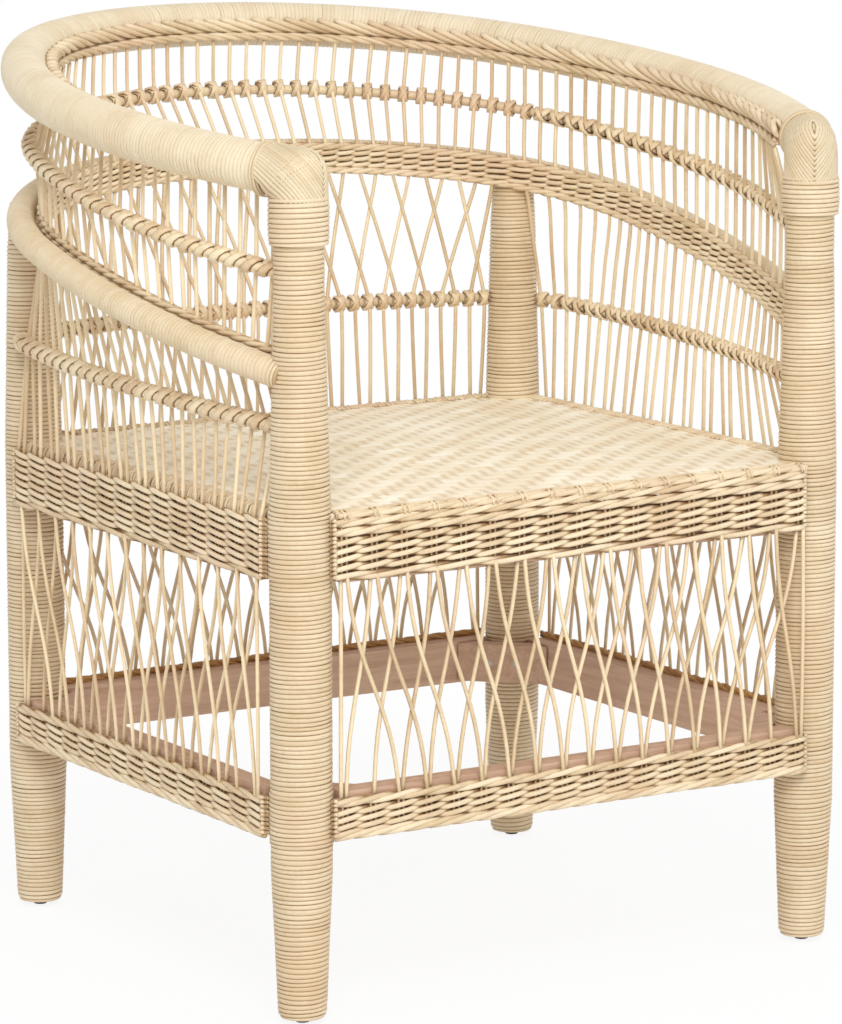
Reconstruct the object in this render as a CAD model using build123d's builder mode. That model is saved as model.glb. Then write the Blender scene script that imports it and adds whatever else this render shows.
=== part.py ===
from build123d import *
import math
import os

# Tub armchair of cane-wrapped poles and woven wicker, in millimetres.
# +Z is up, the chair faces -Y, +X is the right-hand side of a viewer who looks along +Y.
# The origin lies on the floor, midway between the apron's front face and the top rail's back.

# Driving dimensions: legs
leg_spacing_x = 512.0        # between the front legs' axes
leg_spacing_y = 470.0        # from the front legs' axes to the back legs'
leg_radius = 25.9            # over the cane, between the two woven bands
foot_radius = 20.3           # over the cane, at the foot
neck_radius = 21.2           # over the cane, above the seat
foot_height = 5.0            # the glide lifts the cane clear of the floor
foot_taper_top = 130.0       # the leg is full below the lower band
neck_taper_top = 610.0       # the leg is slim again under the arm
cane_thickness = 3.0         # one layer of cane with its ridges

# Woven bands and the boards behind them
seat_height = 425.0          # top edge of the seat aprons
apron_height = 51.5
band_top = 192.0             # top edge of the lower bands
band_height = 35.5
panel_offset = 30.4          # outer face of all bands, out from the leg axes
panel_thickness = 9.5
panel_end_gap = 3.0          # from a band's end to the cane of the leg
border_proud = 0.8           # the rolled edges stand out from the weave
board_thickness = 20.0
seat_rail_height = 40.0
seat_rail_drop = 15.0        # from the apron's top edge down to the rail
stretcher_height = 40.0
stretcher_rise = 3.5         # from the band's top edge up to the stretcher
tenon_radius = 5.0
tenon_length = 16.0
brace_thickness = 18.0
brace_height = 36.0

# Seat
slat_count = 5
slat_width = 58.0
slat_thickness = 8.0
weave_edge = 10.0            # thickness of the seat weave at its edge
weave_crown = 7.0            # rise of its middle
weave_overhang = 13.5        # reach of the weave past the leg axes, sides and back
weave_front_overhang = 20.0
edge_rise = 1.5              # the bound edge stands above the weave
roll_height = 5.4            # rolled edge on the front apron
slat_margin = 4.0            # from the first and last slats to the legs
slat_bearing = 12.0          # on each side rail

# Bent rails and rods: reach in x, depth back from the front legs' axes, heights
top_half_width = 317.8
top_widest = 239.0
top_depth = 632.0
top_front_height = 703.7
top_back_height = 779.7
top_rail_radius = 20.5
arm_half_width = 305.4       # middle of the woven arm band
arm_widest = 262.0
arm_corner = 214.0
arm_back_radius = 426.0
arm_depth = 536.0
arm_front_height = 541.0
arm_back_height = 660.4
arm_front_half_width = 250.0
arm_band_height = 27.0
arm_band_thickness = 9.0
arm_band_lean = 2.0          # its top edge leans out, its bottom edge in
arm_rail_radius = 12.5
arm_rail_gap = 1.2           # from the band, as it leans
upper_half_width = 314.0
upper_widest = 241.0
upper_corner = 225.0
upper_back_radius = 345.0
upper_depth = 580.0
upper_front_height = 620.0
upper_back_height = 721.0
lower_half_width = 297.0
lower_widest = 290.0
lower_corner = 70.0
lower_back_radius = 1100.0
lower_depth = 505.0
lower_front_height = 495.0
lower_back_height = 524.0
rod_radius = 4.3             # the two lashed rods
knot_radius = 7.4
knot_width = 9.0
knot_shift = 1.8             # the knots reach in round the stakes
end_stub = 12.0              # the top rail runs this far past the front legs' axes

# Wicker
front_pairs = 17             # pairs of rods in the front skirt
side_pairs = 14              # in each side skirt, and of stakes above it
back_pairs = 16              # and at the back
pair_margin = 6.0            # from a band's end to its first pair
stake_radius = 1.8
skirt_rod_radius = 1.7
pair_gap = 2.4               # half the distance between a pair's two skirt rods
foot_gap = 5.5               # and between the feet of two stakes
layer_gap = 0.3              # between the two layers of skirt rods
knot_margin = 4.5            # from a leg's cane to the first stake on the lashed rods
arm_margin = 14.0            # from a front leg's cane to the first stake on the arm band
top_margin = 6.0             # from the elbow lashing to the first stake on the top rail
arm_leg_margin = 14.0        # the stakes part this far over the back legs
stake_seat = 1.9             # a slanted stake ends this far from what carries it
stake_clear = 0.6            # between a stake and a rod, and between two stakes in a knot
braid_thickness = 8.0
braid_height = 14.0
braid_rise = 3.0             # above the top rail's centre
braid_margin = 3.0           # from the elbow lashing to the braid's end
rope_radius = 4.0
rope_drop = 8.5              # below the top rail's centre

# Small parts
elbow_radius = 25.2
elbow_reach = 34.0           # length of the lashing along the top rail
elbow_sleeve = 23.5          # its radius there
collar_thickness = 3.9
collar_height = 30.0
dowel_radius = 5.0
dowel_length = 44.0
glide_radius = 6.5
glide_nail_radius = 1.4
glide_nail_length = 14.0
screw_radius = 1.8
screw_head_radius = 3.4
screw_head_height = 2.4
brace_screw_length = 34.0
brace_screw_spread = 26.0
slat_screw_length = 20.0
back_leg_cope = 6.0          # the back legs end this far below the arm rail's centre
fit_gap = 0.3                # clearance where round or soft pieces meet
bore_gap = 0.15              # radial clearance round tenons, dowels and nails

# Values worked out from them
half_x = leg_spacing_x / 2
front_y = panel_offset - (panel_offset + top_depth + top_rail_radius) / 2
back_y = front_y + leg_spacing_y
middle_y = (front_y + back_y) / 2
panel_inner = panel_offset - panel_thickness
panel_middle = panel_offset - panel_thickness / 2
panel_end = math.sqrt((leg_radius + panel_end_gap) ** 2 - panel_inner**2)
rail_offset = panel_inner - board_thickness / 2
board_face = panel_inner - board_thickness
rail_end = leg_radius + fit_gap
seat_rail_top = seat_height - seat_rail_drop
seat_rail_middle = seat_rail_top - seat_rail_height / 2
stretcher_middle = band_top + stretcher_rise - stretcher_height / 2
slat_top = seat_rail_top + slat_thickness
binding_end = math.sqrt((leg_radius + panel_end_gap) ** 2 - weave_overhang**2)
brace_inner = rail_end + brace_thickness
stake_reach = rod_radius + stake_radius + stake_clear
arm_rail_offset = arm_band_thickness / 2 + arm_rail_radius + arm_rail_gap
braid_offset = top_rail_radius + braid_thickness / 2 + fit_gap
top_slope = (top_back_height - top_front_height) / top_depth
front_leg_top = (top_front_height - top_rail_radius * math.hypot(1, top_slope)
                 - top_slope * end_stub - fit_gap)
back_leg_top = (arm_front_height + (arm_back_height - arm_front_height) * leg_spacing_y / arm_depth
                - back_leg_cope)
legs = {
    # x, y, the directions towards the chair's middle, and the height
    "front_left": (-half_x, front_y, 1, 1, front_leg_top),
    "front_right": (half_x, front_y, -1, 1, front_leg_top),
    "back_left": (-half_x, back_y, 1, -1, back_leg_top),
    "back_right": (half_x, back_y, -1, -1, back_leg_top),
}
sides = {
    # middle of the leg line, rightwards and outwards as seen from outside, length, pairs
    "front": (Vector(0, front_y), Vector(1, 0), Vector(0, -1), leg_spacing_x, front_pairs),
    "back": (Vector(0, back_y), Vector(-1, 0), Vector(0, 1), leg_spacing_x, back_pairs),
    "left": (Vector(-half_x, middle_y), Vector(0, -1), Vector(-1, 0), leg_spacing_y, side_pairs),
    "right": (Vector(half_x, middle_y), Vector(0, 1), Vector(1, 0), leg_spacing_y, side_pairs),
}

os.makedirs("parts", exist_ok=True)
finished = []


def keep(builder, name):
    """Label a finished sub-part and write it."""
    builder.part.label = name
    finished.append(name)
    export_step(builder.part, f"parts/{name}.step")


# Bent rails ------------------------------------------------------------------

class Hoop:
    """A bent U in a plane that rises from the front legs to the back.

    It is made of a side arc, a corner arc and a back arc on each side, all tangent.
    Without a corner radius the side arcs run straight into the back arc.
    """

    def __init__(self, half_width, widest, corner, back_radius, depth, front_z, back_z, start):
        self.given = (half_width, widest, corner, back_radius, depth, front_z, back_z, start)
        rise = back_z - front_z
        run = math.hypot(depth, rise)
        widest_v = widest * run / depth
        side_radius = ((half_width - start) ** 2 + widest_v**2) / (2 * (half_width - start))
        side_centre = (half_width - side_radius, widest_v)
        if corner is None:
            reach = run - widest_v
            back_radius = (side_radius**2 - side_centre[0] ** 2 - reach**2) / (2 * (side_radius - reach))
        self.arcs = [(side_centre, side_radius), ((0.0, run - back_radius), back_radius)]
        if corner is not None:
            self.arcs.insert(1, (self.meet(side_radius - corner, back_radius - corner), corner))
        self.plane = Plane(origin=(0, front_y, front_z), x_dir=(1, 0, 0), z_dir=(0, -rise, depth))

    def meet(self, from_side, from_back):
        """The corner's centre, at these distances from the side's and the back's centres."""
        (ax, ay), (bx, by) = self.arcs[0][0], self.arcs[1][0]
        gap = math.hypot(bx - ax, by - ay)
        along = (from_side**2 - from_back**2 + gap**2) / (2 * gap)
        across = math.sqrt(from_side**2 - along**2)
        ux, uy = (bx - ax) / gap, (by - ay) / gap
        return (ax + along * ux - across * uy, ay + along * uy + across * ux)

    def shifted(self, up, out=0.0):
        """The same bend, moved up and let out all round."""
        half_width, widest, corner, back_radius, depth, front_z, back_z, start = self.given
        return Hoop(half_width + out, widest, corner, back_radius, depth + out,
                    front_z + up, back_z + up, start + out)

    def spans(self, outward=0.0, trim=0.0):
        """Centre, radius and both angles of each arc on the right-hand side."""
        found = []
        side, radius = self.arcs[0]
        angle = -math.asin(side[1] / (radius + outward))
        if trim > 0:
            angle = trim / radius - math.asin(side[1] / radius)
        for index, (centre, radius) in enumerate(self.arcs):
            end = math.pi / 2
            if index < len(self.arcs) - 1:
                following, next_radius = self.arcs[index + 1]
                end = math.atan2(centre[1] - following[1], centre[0] - following[0])
                if next_radius < radius:
                    end += math.pi
                end = end % (2 * math.pi)
            found.append((centre, radius + outward, angle, end))
            angle = end
        return found

    def corners(self, outward, trim=0.0):
        """Start, middle and end of each arc on the right-hand side, in the hoop's plane."""
        return [[(centre[0] + radius * math.cos(a), centre[1] + radius * math.sin(a))
                 for a in (start, (start + end) / 2, end)]
                for centre, radius, start, end in self.spans(outward, trim)]

    def draw(self, outward=0.0, stub=0.0):
        """Draw the U inside a BuildLine, from the right front to the left front.

        A stub runs the ends on, and a negative one cuts them back.
        """
        arcs = self.corners(outward, max(-stub, 0.0))
        start = arcs[0][0]
        if stub > 0:
            (side_x, side_y), radius, angle, _ = self.spans(outward)[0]
            tip = (start[0] + stub * math.sin(angle), start[1] - stub * math.cos(angle))
            Line(tip, start)
        for first, middle, last in arcs[:-1]:
            ThreePointArc(first, middle, last)
        first, middle, last = arcs[-1]
        ThreePointArc(first, last, (-first[0], first[1]))
        for first, middle, last in reversed(arcs[:-1]):
            ThreePointArc((-last[0], last[1]), (-middle[0], middle[1]), (-first[0], first[1]))
        if stub > 0:
            Line((-start[0], start[1]), (-tip[0], tip[1]))

    def half_length(self):
        return sum(radius * (end - start) for _, radius, start, end in self.spans())

    def place(self, distance, outward=0.0, up=0.0, side=1):
        """A plane across the rail, this far along from the front, with its x pointing out."""
        for centre, radius, start, end in self.spans():
            angle = start + distance / radius
            if angle <= end:
                break
            distance -= radius * (end - start)
        out = self.plane.x_dir * (side * math.cos(angle)) + self.plane.y_dir * math.sin(angle)
        ahead = self.plane.x_dir * (-side * math.sin(angle)) + self.plane.y_dir * math.cos(angle)
        hub = self.plane.from_local_coords(Vector(side * centre[0], centre[1], up))
        return Plane(origin=hub + out * (radius + outward), x_dir=out, z_dir=ahead)

    def passes(self, x, y):
        """How far along the rail lies the point nearest to an upright line."""
        def miss(distance):
            spot = self.place(distance).origin
            return math.hypot(spot.X - x, spot.Y - y)
        return min((step / 2 for step in range(int(2 * self.half_length()))), key=miss)


def hoop_wire(hoop, outward=0.0, stub=0.0, up=0.0):
    with BuildLine(hoop.plane.offset(up)) as path:
        hoop.draw(outward, stub)
    return path.wire()


def tube(path, outer, inner=0.0):
    """A round pole along a path, or a sleeve round one."""
    with BuildPart() as made:
        with BuildSketch(Plane(origin=path @ 0, z_dir=path % 0)):
            Circle(outer)
            if inner > 0:
                Circle(inner, mode=Mode.SUBTRACT)
        sweep(path=path)
    return made.part


def strip(low, high, outer, inner):
    """A standing woven band between two hoops, with its two faces' distances from their line."""
    with BuildPart() as made:
        for hoop in (low, high):
            with BuildSketch(hoop.plane):
                with BuildLine():
                    hoop.draw(outer)
                    hoop.draw(inner)
                    near, far = hoop.corners(inner)[0][0], hoop.corners(outer)[0][0]
                    Line(near, far)
                    Line((-near[0], near[1]), (-far[0], far[1]))
                make_face()
        loft(ruled=True)
    return made.part


top_hoop = Hoop(top_half_width, top_widest, None, None, top_depth,
                top_front_height, top_back_height, half_x)
arm_hoop = Hoop(arm_half_width, arm_widest, arm_corner, arm_back_radius, arm_depth,
                arm_front_height, arm_back_height, arm_front_half_width)
upper_hoop = Hoop(upper_half_width, upper_widest, upper_corner, upper_back_radius, upper_depth,
                  upper_front_height, upper_back_height, half_x)
lower_hoop = Hoop(lower_half_width, lower_widest, lower_corner, lower_back_radius, lower_depth,
                  lower_front_height, lower_back_height, half_x)
band_low = arm_hoop.shifted(-arm_band_height / 2, -arm_band_lean)
band_high = arm_hoop.shifted(arm_band_height / 2, arm_band_lean)
top_path = hoop_wire(top_hoop, 0, end_stub)
arm_rail_path = hoop_wire(arm_hoop, arm_rail_offset)


# Shared shapes ---------------------------------------------------------------

def bar(start, end, radius, mode=Mode.ADD):
    """A round bar, or a bore, from one point to another."""
    with Locations(Plane(origin=start, z_dir=end - start).location):
        Cylinder(radius, (end - start).length, align=(Align.CENTER, Align.CENTER, Align.MIN), mode=mode)


def rod(points, radius):
    """A round rod through its points, as one solid of its own."""
    with BuildPart() as made:
        for start, end in zip(points, points[1:]):
            bar(start, end, radius)
        for corner in points[1:-1]:
            with Locations(corner):
                Sphere(radius)
    return made.part


def leg_shape(x, y, top, inset):
    """A leg's round tapered body, inset from the surface of its cane."""
    with BuildPart() as made:
        with BuildSketch(Plane(origin=(x, y, 0), x_dir=(1, 0, 0), z_dir=(0, -1, 0))):
            with BuildLine():
                Polyline((0, foot_height), (foot_radius - inset, foot_height),
                         (leg_radius - inset, foot_taper_top), (leg_radius - inset, seat_height),
                         (neck_radius - inset, neck_taper_top), (neck_radius - inset, top),
                         (0, top), close=True)
            make_face()
        revolve(axis=Axis((x, y, 0), (0, 0, 1)))
    return made.part


def tenons(x, y, into_x, into_y):
    """Start and end of each board's tenon in a leg, from the leg's side to the tenon's tip."""
    reach = rail_end - tenon_length
    for height in (seat_rail_middle, stretcher_middle):
        yield (Vector(x + into_x * rail_end, y - into_y * rail_offset, height),
               Vector(x + into_x * reach, y - into_y * rail_offset, height))
        yield (Vector(x - into_x * rail_offset, y + into_y * rail_end, height),
               Vector(x - into_x * rail_offset, y + into_y * reach, height))


def brace_screws(x, y, into_x, into_y):
    """Head and tip of both screws that hold a corner brace to its leg."""
    inwards = Vector(into_x, into_y).normalized()
    across = Vector(into_y, -into_x).normalized()
    for shift in (-brace_screw_spread / 2, brace_screw_spread / 2):
        head = Vector(x, y, stretcher_middle) + inwards * brace_inner + across * shift
        yield head, head - inwards * brace_screw_length


def screw(head, tip):
    with BuildPart() as made:
        bar(head, tip, screw_radius)
        with Locations(Plane(origin=head, z_dir=tip - head).location):
            Cone(screw_head_radius, screw_radius, screw_head_height,
                 align=(Align.CENTER, Align.CENTER, Align.MIN))
    return made.part


def screw_bore(head, tip, clear=bore_gap):
    """Cut a screw's hole and countersink in the current part."""
    bar(head, tip, screw_radius + clear, Mode.SUBTRACT)
    with Locations(Plane(origin=head, z_dir=tip - head).location):
        Cone(screw_head_radius + clear, screw_radius + clear, screw_head_height,
             align=(Align.CENTER, Align.CENTER, Align.MIN), mode=Mode.SUBTRACT)


# Legs ------------------------------------------------------------------------

arm_rail_tool = tube(arm_rail_path, arm_rail_radius + fit_gap)
arm_band_tool = strip(band_low.shifted(-fit_gap), band_high.shifted(fit_gap),
                      arm_band_thickness / 2 + fit_gap, -arm_band_thickness / 2 - fit_gap)


def cut_leg_joints(name):
    """Cut the current leg piece for what meets the leg: boards, screws, dowel, nail or arm rail."""
    x, y, into_x, into_y, top = legs[name]
    for start, end in tenons(x, y, into_x, into_y):
        bar(start, end, tenon_radius + bore_gap, Mode.SUBTRACT)
    for head, tip in brace_screws(x, y, into_x, into_y):
        bar(head, tip, screw_radius + bore_gap, Mode.SUBTRACT)
    foot = Vector(x, y, foot_height)
    bar(foot, foot + Vector(0, 0, glide_nail_length), glide_nail_radius + bore_gap, Mode.SUBTRACT)
    if y < middle_y:
        seat = Vector(x, y, top)
        bar(seat, seat - Vector(0, 0, dowel_length / 2), dowel_radius + bore_gap, Mode.SUBTRACT)
    else:
        add(arm_rail_tool, mode=Mode.SUBTRACT)
        add(arm_band_tool, mode=Mode.SUBTRACT)


for name, (x, y, _, _, top) in legs.items():
    with BuildPart() as pole:
        add(leg_shape(x, y, top, cane_thickness))
        cut_leg_joints(name)
    keep(pole, f"{name}_leg_pole")
    with BuildPart() as wrap:
        add(leg_shape(x, y, top, 0))
        add(leg_shape(x, y, top, cane_thickness), mode=Mode.SUBTRACT)
        cut_leg_joints(name)
    keep(wrap, f"{name}_leg_wrap")

with BuildPart() as leg_glides:
    for x, y, *_ in legs.values():
        bar(Vector(x, y, 0), Vector(x, y, foot_height), glide_radius)
        bar(Vector(x, y, foot_height), Vector(x, y, foot_height + glide_nail_length), glide_nail_radius)
keep(leg_glides, "leg_glides")


# Rails -----------------------------------------------------------------------

dowels = [(Vector(x, front_y, front_leg_top - dowel_length / 2),
           Vector(x, front_y, front_leg_top + dowel_length / 2)) for x in (-half_x, half_x)]
leg_tools = {name: leg_shape(x, y, top, -fit_gap) for name, (x, y, _, _, top) in legs.items()}
front_leg_tools = [leg_tools["front_left"], leg_tools["front_right"]]

with BuildPart() as top_rail_pole:
    add(tube(top_path, top_rail_radius - cane_thickness))
    for start, end in dowels:
        bar(start, end, dowel_radius + bore_gap, Mode.SUBTRACT)
keep(top_rail_pole, "top_rail_pole")

with BuildPart() as top_rail_wrap:
    add(tube(top_path, top_rail_radius, top_rail_radius - cane_thickness))
    for start, end in dowels:
        bar(start, end, dowel_radius + bore_gap, Mode.SUBTRACT)
keep(top_rail_wrap, "top_rail_wrap")

with BuildPart() as arm_rail_pole:
    add(tube(arm_rail_path, arm_rail_radius - cane_thickness))
    add(front_leg_tools, mode=Mode.SUBTRACT)
keep(arm_rail_pole, "arm_rail_pole")

with BuildPart() as arm_rail_wrap:
    add(tube(arm_rail_path, arm_rail_radius, arm_rail_radius - cane_thickness))
    add(front_leg_tools, mode=Mode.SUBTRACT)
keep(arm_rail_wrap, "arm_rail_wrap")

with BuildPart() as arm_band:
    add(strip(band_low, band_high, arm_band_thickness / 2, -arm_band_thickness / 2))
    add(front_leg_tools, mode=Mode.SUBTRACT)
keep(arm_band, "arm_band")

with BuildPart() as elbow_dowels:
    for start, end in dowels:
        bar(start, end, dowel_radius)
keep(elbow_dowels, "elbow_dowels")

rail_tool = tube(top_path, top_rail_radius + fit_gap)
for side, name in ((-1, "left"), (1, "right")):
    seat = Vector(side * half_x, front_y, front_leg_top)
    middle = Vector(side * half_x, front_y, top_front_height)
    ahead = top_hoop.place(0, side=side).z_dir
    with BuildPart() as elbow:
        bar(seat, middle, elbow_radius)
        with Locations(middle):
            Sphere(elbow_radius, arc_size1=0, align=(Align.CENTER, Align.CENTER, Align.MIN))
        bar(middle, middle + ahead * elbow_reach, elbow_sleeve)
        add(rail_tool, mode=Mode.SUBTRACT)
        bar(seat, seat - Vector(0, 0, collar_height), 2 * elbow_radius, Mode.SUBTRACT)
        bar(seat, middle, dowel_radius + bore_gap, Mode.SUBTRACT)
    keep(elbow, f"{name}_elbow_lashing")
    with BuildPart() as collar:
        bar(seat - Vector(0, 0, collar_height), seat, neck_radius + collar_thickness)
        bar(seat - Vector(0, 0, collar_height), seat, neck_radius, Mode.SUBTRACT)
    keep(collar, f"{name}_leg_collar")

braid_start = elbow_reach + braid_margin
braid_path = hoop_wire(top_hoop, -braid_offset, -braid_start, braid_rise)
rope_path = hoop_wire(top_hoop, -braid_offset, -braid_start, -rope_drop)
with BuildPart() as top_braid:
    with BuildSketch(Plane(origin=braid_path @ 0, x_dir=top_hoop.plane.z_dir, z_dir=braid_path % 0)):
        Ellipse(braid_height / 2, braid_thickness / 2)
    sweep(path=braid_path)
keep(top_braid, "top_braid")
with BuildPart() as top_rope:
    add(tube(rope_path, rope_radius))
keep(top_rope, "top_rope")

with BuildPart() as upper_rod:
    add(tube(hoop_wire(upper_hoop), rod_radius))
    add(front_leg_tools, mode=Mode.SUBTRACT)
keep(upper_rod, "upper_rod")

with BuildPart() as lower_rod:
    add(tube(hoop_wire(lower_hoop), rod_radius))
    add(list(leg_tools.values()), mode=Mode.SUBTRACT)
keep(lower_rod, "lower_rod")
print("rails done")


# Boards, bands and skirts ------------------------------------------------------

def side_plane(side, offset, height, along=0.0):
    """A plane against one side of the chair: x to its right, y up, z outwards."""
    middle, right, out, _, _ = sides[side]
    return Plane(origin=middle + out * offset + right * along + Vector(0, 0, height),
                 x_dir=right, z_dir=out)


def board(side, height, tall):
    """A board between two legs, with a round tenon at each end."""
    _, right, _, length, _ = sides[side]
    half = length / 2 - rail_end
    with BuildPart() as made:
        with Locations(side_plane(side, rail_offset, height).location):
            Box(2 * half, tall, board_thickness)
        for end in (-1, 1):
            shoulder = side_plane(side, rail_offset, height, end * half).origin
            bar(shoulder, shoulder + right * (end * tenon_length), tenon_radius)
    return made.part


def woven_band(side, top, tall):
    """A woven band between two legs, with a thicker rolled edge along its top and its foot."""
    _, right, out, length, _ = sides[side]
    half = length / 2 - panel_end
    start = side_plane(side, panel_middle, top - tall / 2, -half).origin
    with BuildPart() as made:
        with BuildSketch(Plane(origin=start, x_dir=out, z_dir=right)):
            Rectangle(panel_thickness - 2 * border_proud, tall - panel_thickness)
            with Locations((0, (tall - panel_thickness) / 2), (0, (panel_thickness - tall) / 2)):
                Circle(panel_thickness / 2)
        extrude(amount=2 * half)
    return made.part


slat_screw_places = []
slat_run = leg_spacing_y - 2 * (leg_radius + slat_margin) - slat_width
for index in range(slat_count):
    slat_y = middle_y + slat_run * (index / (slat_count - 1) - 0.5)
    for side in (-1, 1):
        slat_screw_places.append(Vector(side * (half_x + board_face + slat_bearing / 2), slat_y, slat_top))
slat_screw_line = Vector(0, 0, -slat_screw_length)

for side in sides:
    with BuildPart() as seat_rail:
        add(board(side, seat_rail_middle, seat_rail_height))
        if side in ("left", "right"):
            for place in slat_screw_places:
                bar(place, place + slat_screw_line, screw_radius + bore_gap, Mode.SUBTRACT)
    keep(seat_rail, f"{side}_seat_rail")
    with BuildPart() as stretcher:
        add(board(side, stretcher_middle, stretcher_height))
    keep(stretcher, f"{side}_stretcher")
    with BuildPart() as apron:
        add(woven_band(side, seat_height, apron_height))
    keep(apron, f"{side}_apron")
    with BuildPart() as lower_band:
        add(woven_band(side, band_top, band_height))
    keep(lower_band, f"{side}_lower_band")


def skirt_rods(side):
    """Ends of the paired rods below an apron, which part at its foot and cross on their way down."""
    _, _, _, length, pairs = sides[side]
    first = panel_end + pair_margin - length / 2
    pitch = -2 * first / (pairs - 1)
    foot_pitch = -2 * first / pairs
    top = seat_height - apron_height - fit_gap
    layer = skirt_rod_radius + layer_gap / 2
    for index in range(pairs):
        spot = first + index * pitch
        right_foot = first + foot_pitch * (index + 2) - pair_gap
        if index == pairs - 1:
            right_foot = -first + pair_gap
        left_foot = first + foot_pitch * (index - 1) + pair_gap
        if index == 0:
            left_foot = first - pair_gap
        for above, below, offset in ((spot + pair_gap, right_foot, panel_middle + layer),
                                     (spot - pair_gap, left_foot, panel_middle - layer)):
            yield (side_plane(side, offset, top, above).origin,
                   side_plane(side, offset, band_top + fit_gap, below).origin)


for side in sides:
    with BuildPart() as skirt:
        add([rod(ends, skirt_rod_radius) for ends in skirt_rods(side)])
    keep(skirt, f"{side}_skirt")
print("skirts done")

for name, (x, y, into_x, into_y, _) in legs.items():
    near = math.sqrt(2) * rail_end - board_face
    far = math.sqrt(2) * brace_inner - board_face
    with BuildPart() as brace:
        with BuildSketch(Plane.XY.offset(stretcher_middle - brace_height / 2)):
            with BuildLine():
                Polyline([(x + into_x * u, y + into_y * v) for u, v in (
                    (near, board_face), (far, board_face), (board_face, far), (board_face, near))],
                    close=True)
            make_face()
        extrude(amount=brace_height)
        for head, tip in brace_screws(x, y, into_x, into_y):
            screw_bore(head, tip)
    keep(brace, f"{name}_corner_brace")

with BuildPart() as brace_screw_set:
    add([screw(head, tip) for x, y, into_x, into_y, _ in legs.values()
         for head, tip in brace_screws(x, y, into_x, into_y)])
keep(brace_screw_set, "brace_screws")


# Seat --------------------------------------------------------------------------

with BuildPart() as seat_slats:
    with Locations((0, middle_y, slat_top - slat_thickness / 2)):
        with GridLocations(1, slat_run / (slat_count - 1), 1, slat_count):
            Box(2 * (half_x - board_face + slat_bearing), slat_width, slat_thickness)
    for place in slat_screw_places:
        screw_bore(place, place + slat_screw_line)
keep(seat_slats, "seat_slats")

with BuildPart() as slat_screws:
    add([screw(place, place + slat_screw_line) for place in slat_screw_places])
keep(slat_screws, "slat_screws")

seat_front = front_y - weave_front_overhang
seat_back = back_y + weave_overhang
seat_half = half_x + weave_overhang
crown_reach = math.hypot(seat_half, (seat_back - seat_front) / 2)
crown_radius = crown_reach**2 / (2 * weave_crown)
with BuildPart() as seat_weave:
    with BuildSketch(Plane.XY.offset(slat_top)):
        with Locations((0, (seat_front + seat_back) / 2)):
            Rectangle(2 * seat_half, seat_back - seat_front)
        with Locations([(x, y) for x, y, *_ in legs.values()]):
            Circle(leg_radius + fit_gap, mode=Mode.SUBTRACT)
    extrude(amount=weave_edge + weave_crown)
    with Locations((0, (seat_front + seat_back) / 2, slat_top + weave_edge + weave_crown - crown_radius)):
        Sphere(crown_radius, mode=Mode.INTERSECT)
keep(seat_weave, "seat_weave")

binding_width = panel_inner - fit_gap - weave_overhang
binding_tall = weave_edge + edge_rise + slat_thickness
for side in ("left", "right", "back"):
    _, _, _, length, _ = sides[side]
    with BuildPart() as binding:
        with BuildSketch(side_plane(side, weave_overhang, seat_rail_top + binding_tall / 2)):
            Rectangle(length - 2 * binding_end, binding_tall)
        extrude(amount=binding_width)
    keep(binding, f"{side}_seat_binding")

with BuildPart() as front_roll:
    with BuildSketch(side_plane("front", panel_inner, seat_height + roll_height / 2)):
        Rectangle(leg_spacing_x - 2 * panel_end, roll_height)
    extrude(amount=panel_thickness)
keep(front_roll, "seat_front_roll")
print("seat done")


# Stakes and knots ----------------------------------------------------------------

def evenly(start, end, count):
    """Places from start to end, both kept."""
    return [start + (end - start) * index / (count - 1) for index in range(count)]


def to_middle(start, hoop, count):
    """Places from start to half a step short of the middle of the back."""
    half = hoop.half_length()
    step = (half - start) / (count - 0.5)
    return [start + step * index for index in range(count)]


half_count = 2 * side_pairs + back_pairs
knot_start = leg_radius + knot_margin
at_leg = lower_hoop.passes(half_x, back_y)
over_leg = arm_hoop.passes(half_x, back_y)
lower_places = (evenly(knot_start, at_leg - knot_start, 2 * side_pairs)
                + to_middle(at_leg + knot_start, lower_hoop, back_pairs))
arm_places = (evenly(leg_radius + arm_margin, over_leg - arm_leg_margin, 2 * side_pairs)
              + to_middle(over_leg + arm_leg_margin, arm_hoop, back_pairs))
upper_places = to_middle(knot_start, upper_hoop, half_count)
top_places = to_middle(elbow_reach + top_margin, top_hoop, half_count)


def feet(side):
    """Feet of the stakes on one half of the chair, from the front leg round to the middle."""
    first = panel_end + pair_margin
    found = []
    for spot in evenly(first, leg_spacing_y - first, side_pairs):
        for shift in (-foot_gap, foot_gap):
            found.append(Vector(side * (half_x + panel_middle), front_y + spot + shift, seat_height))
    for spot in evenly(first, leg_spacing_x - first, back_pairs)[:back_pairs // 2]:
        for shift in (-foot_gap, foot_gap):
            found.append(Vector(side * (half_x - spot - shift), back_y + panel_middle, seat_height))
    return found


def towards(start, end, reach):
    """The point this far from start on the way to end."""
    return start + (end - start).normalized() * reach


lower_stakes, middle_stakes, upper_stakes = [], [], []
lower_knots, upper_knots = [], []


def beside(across, start, end):
    """The plane across a rod, turned so that its x points straight away from a passing stake."""
    run = across.to_local_coords(end) - across.to_local_coords(start)
    turn = math.atan2(-run.X, run.Y) if run.Y > 0 else math.atan2(run.X, -run.Y)
    return Plane(origin=across.origin, z_dir=across.z_dir,
                 x_dir=across.x_dir * math.cos(turn) + across.y_dir * math.sin(turn))


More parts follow.
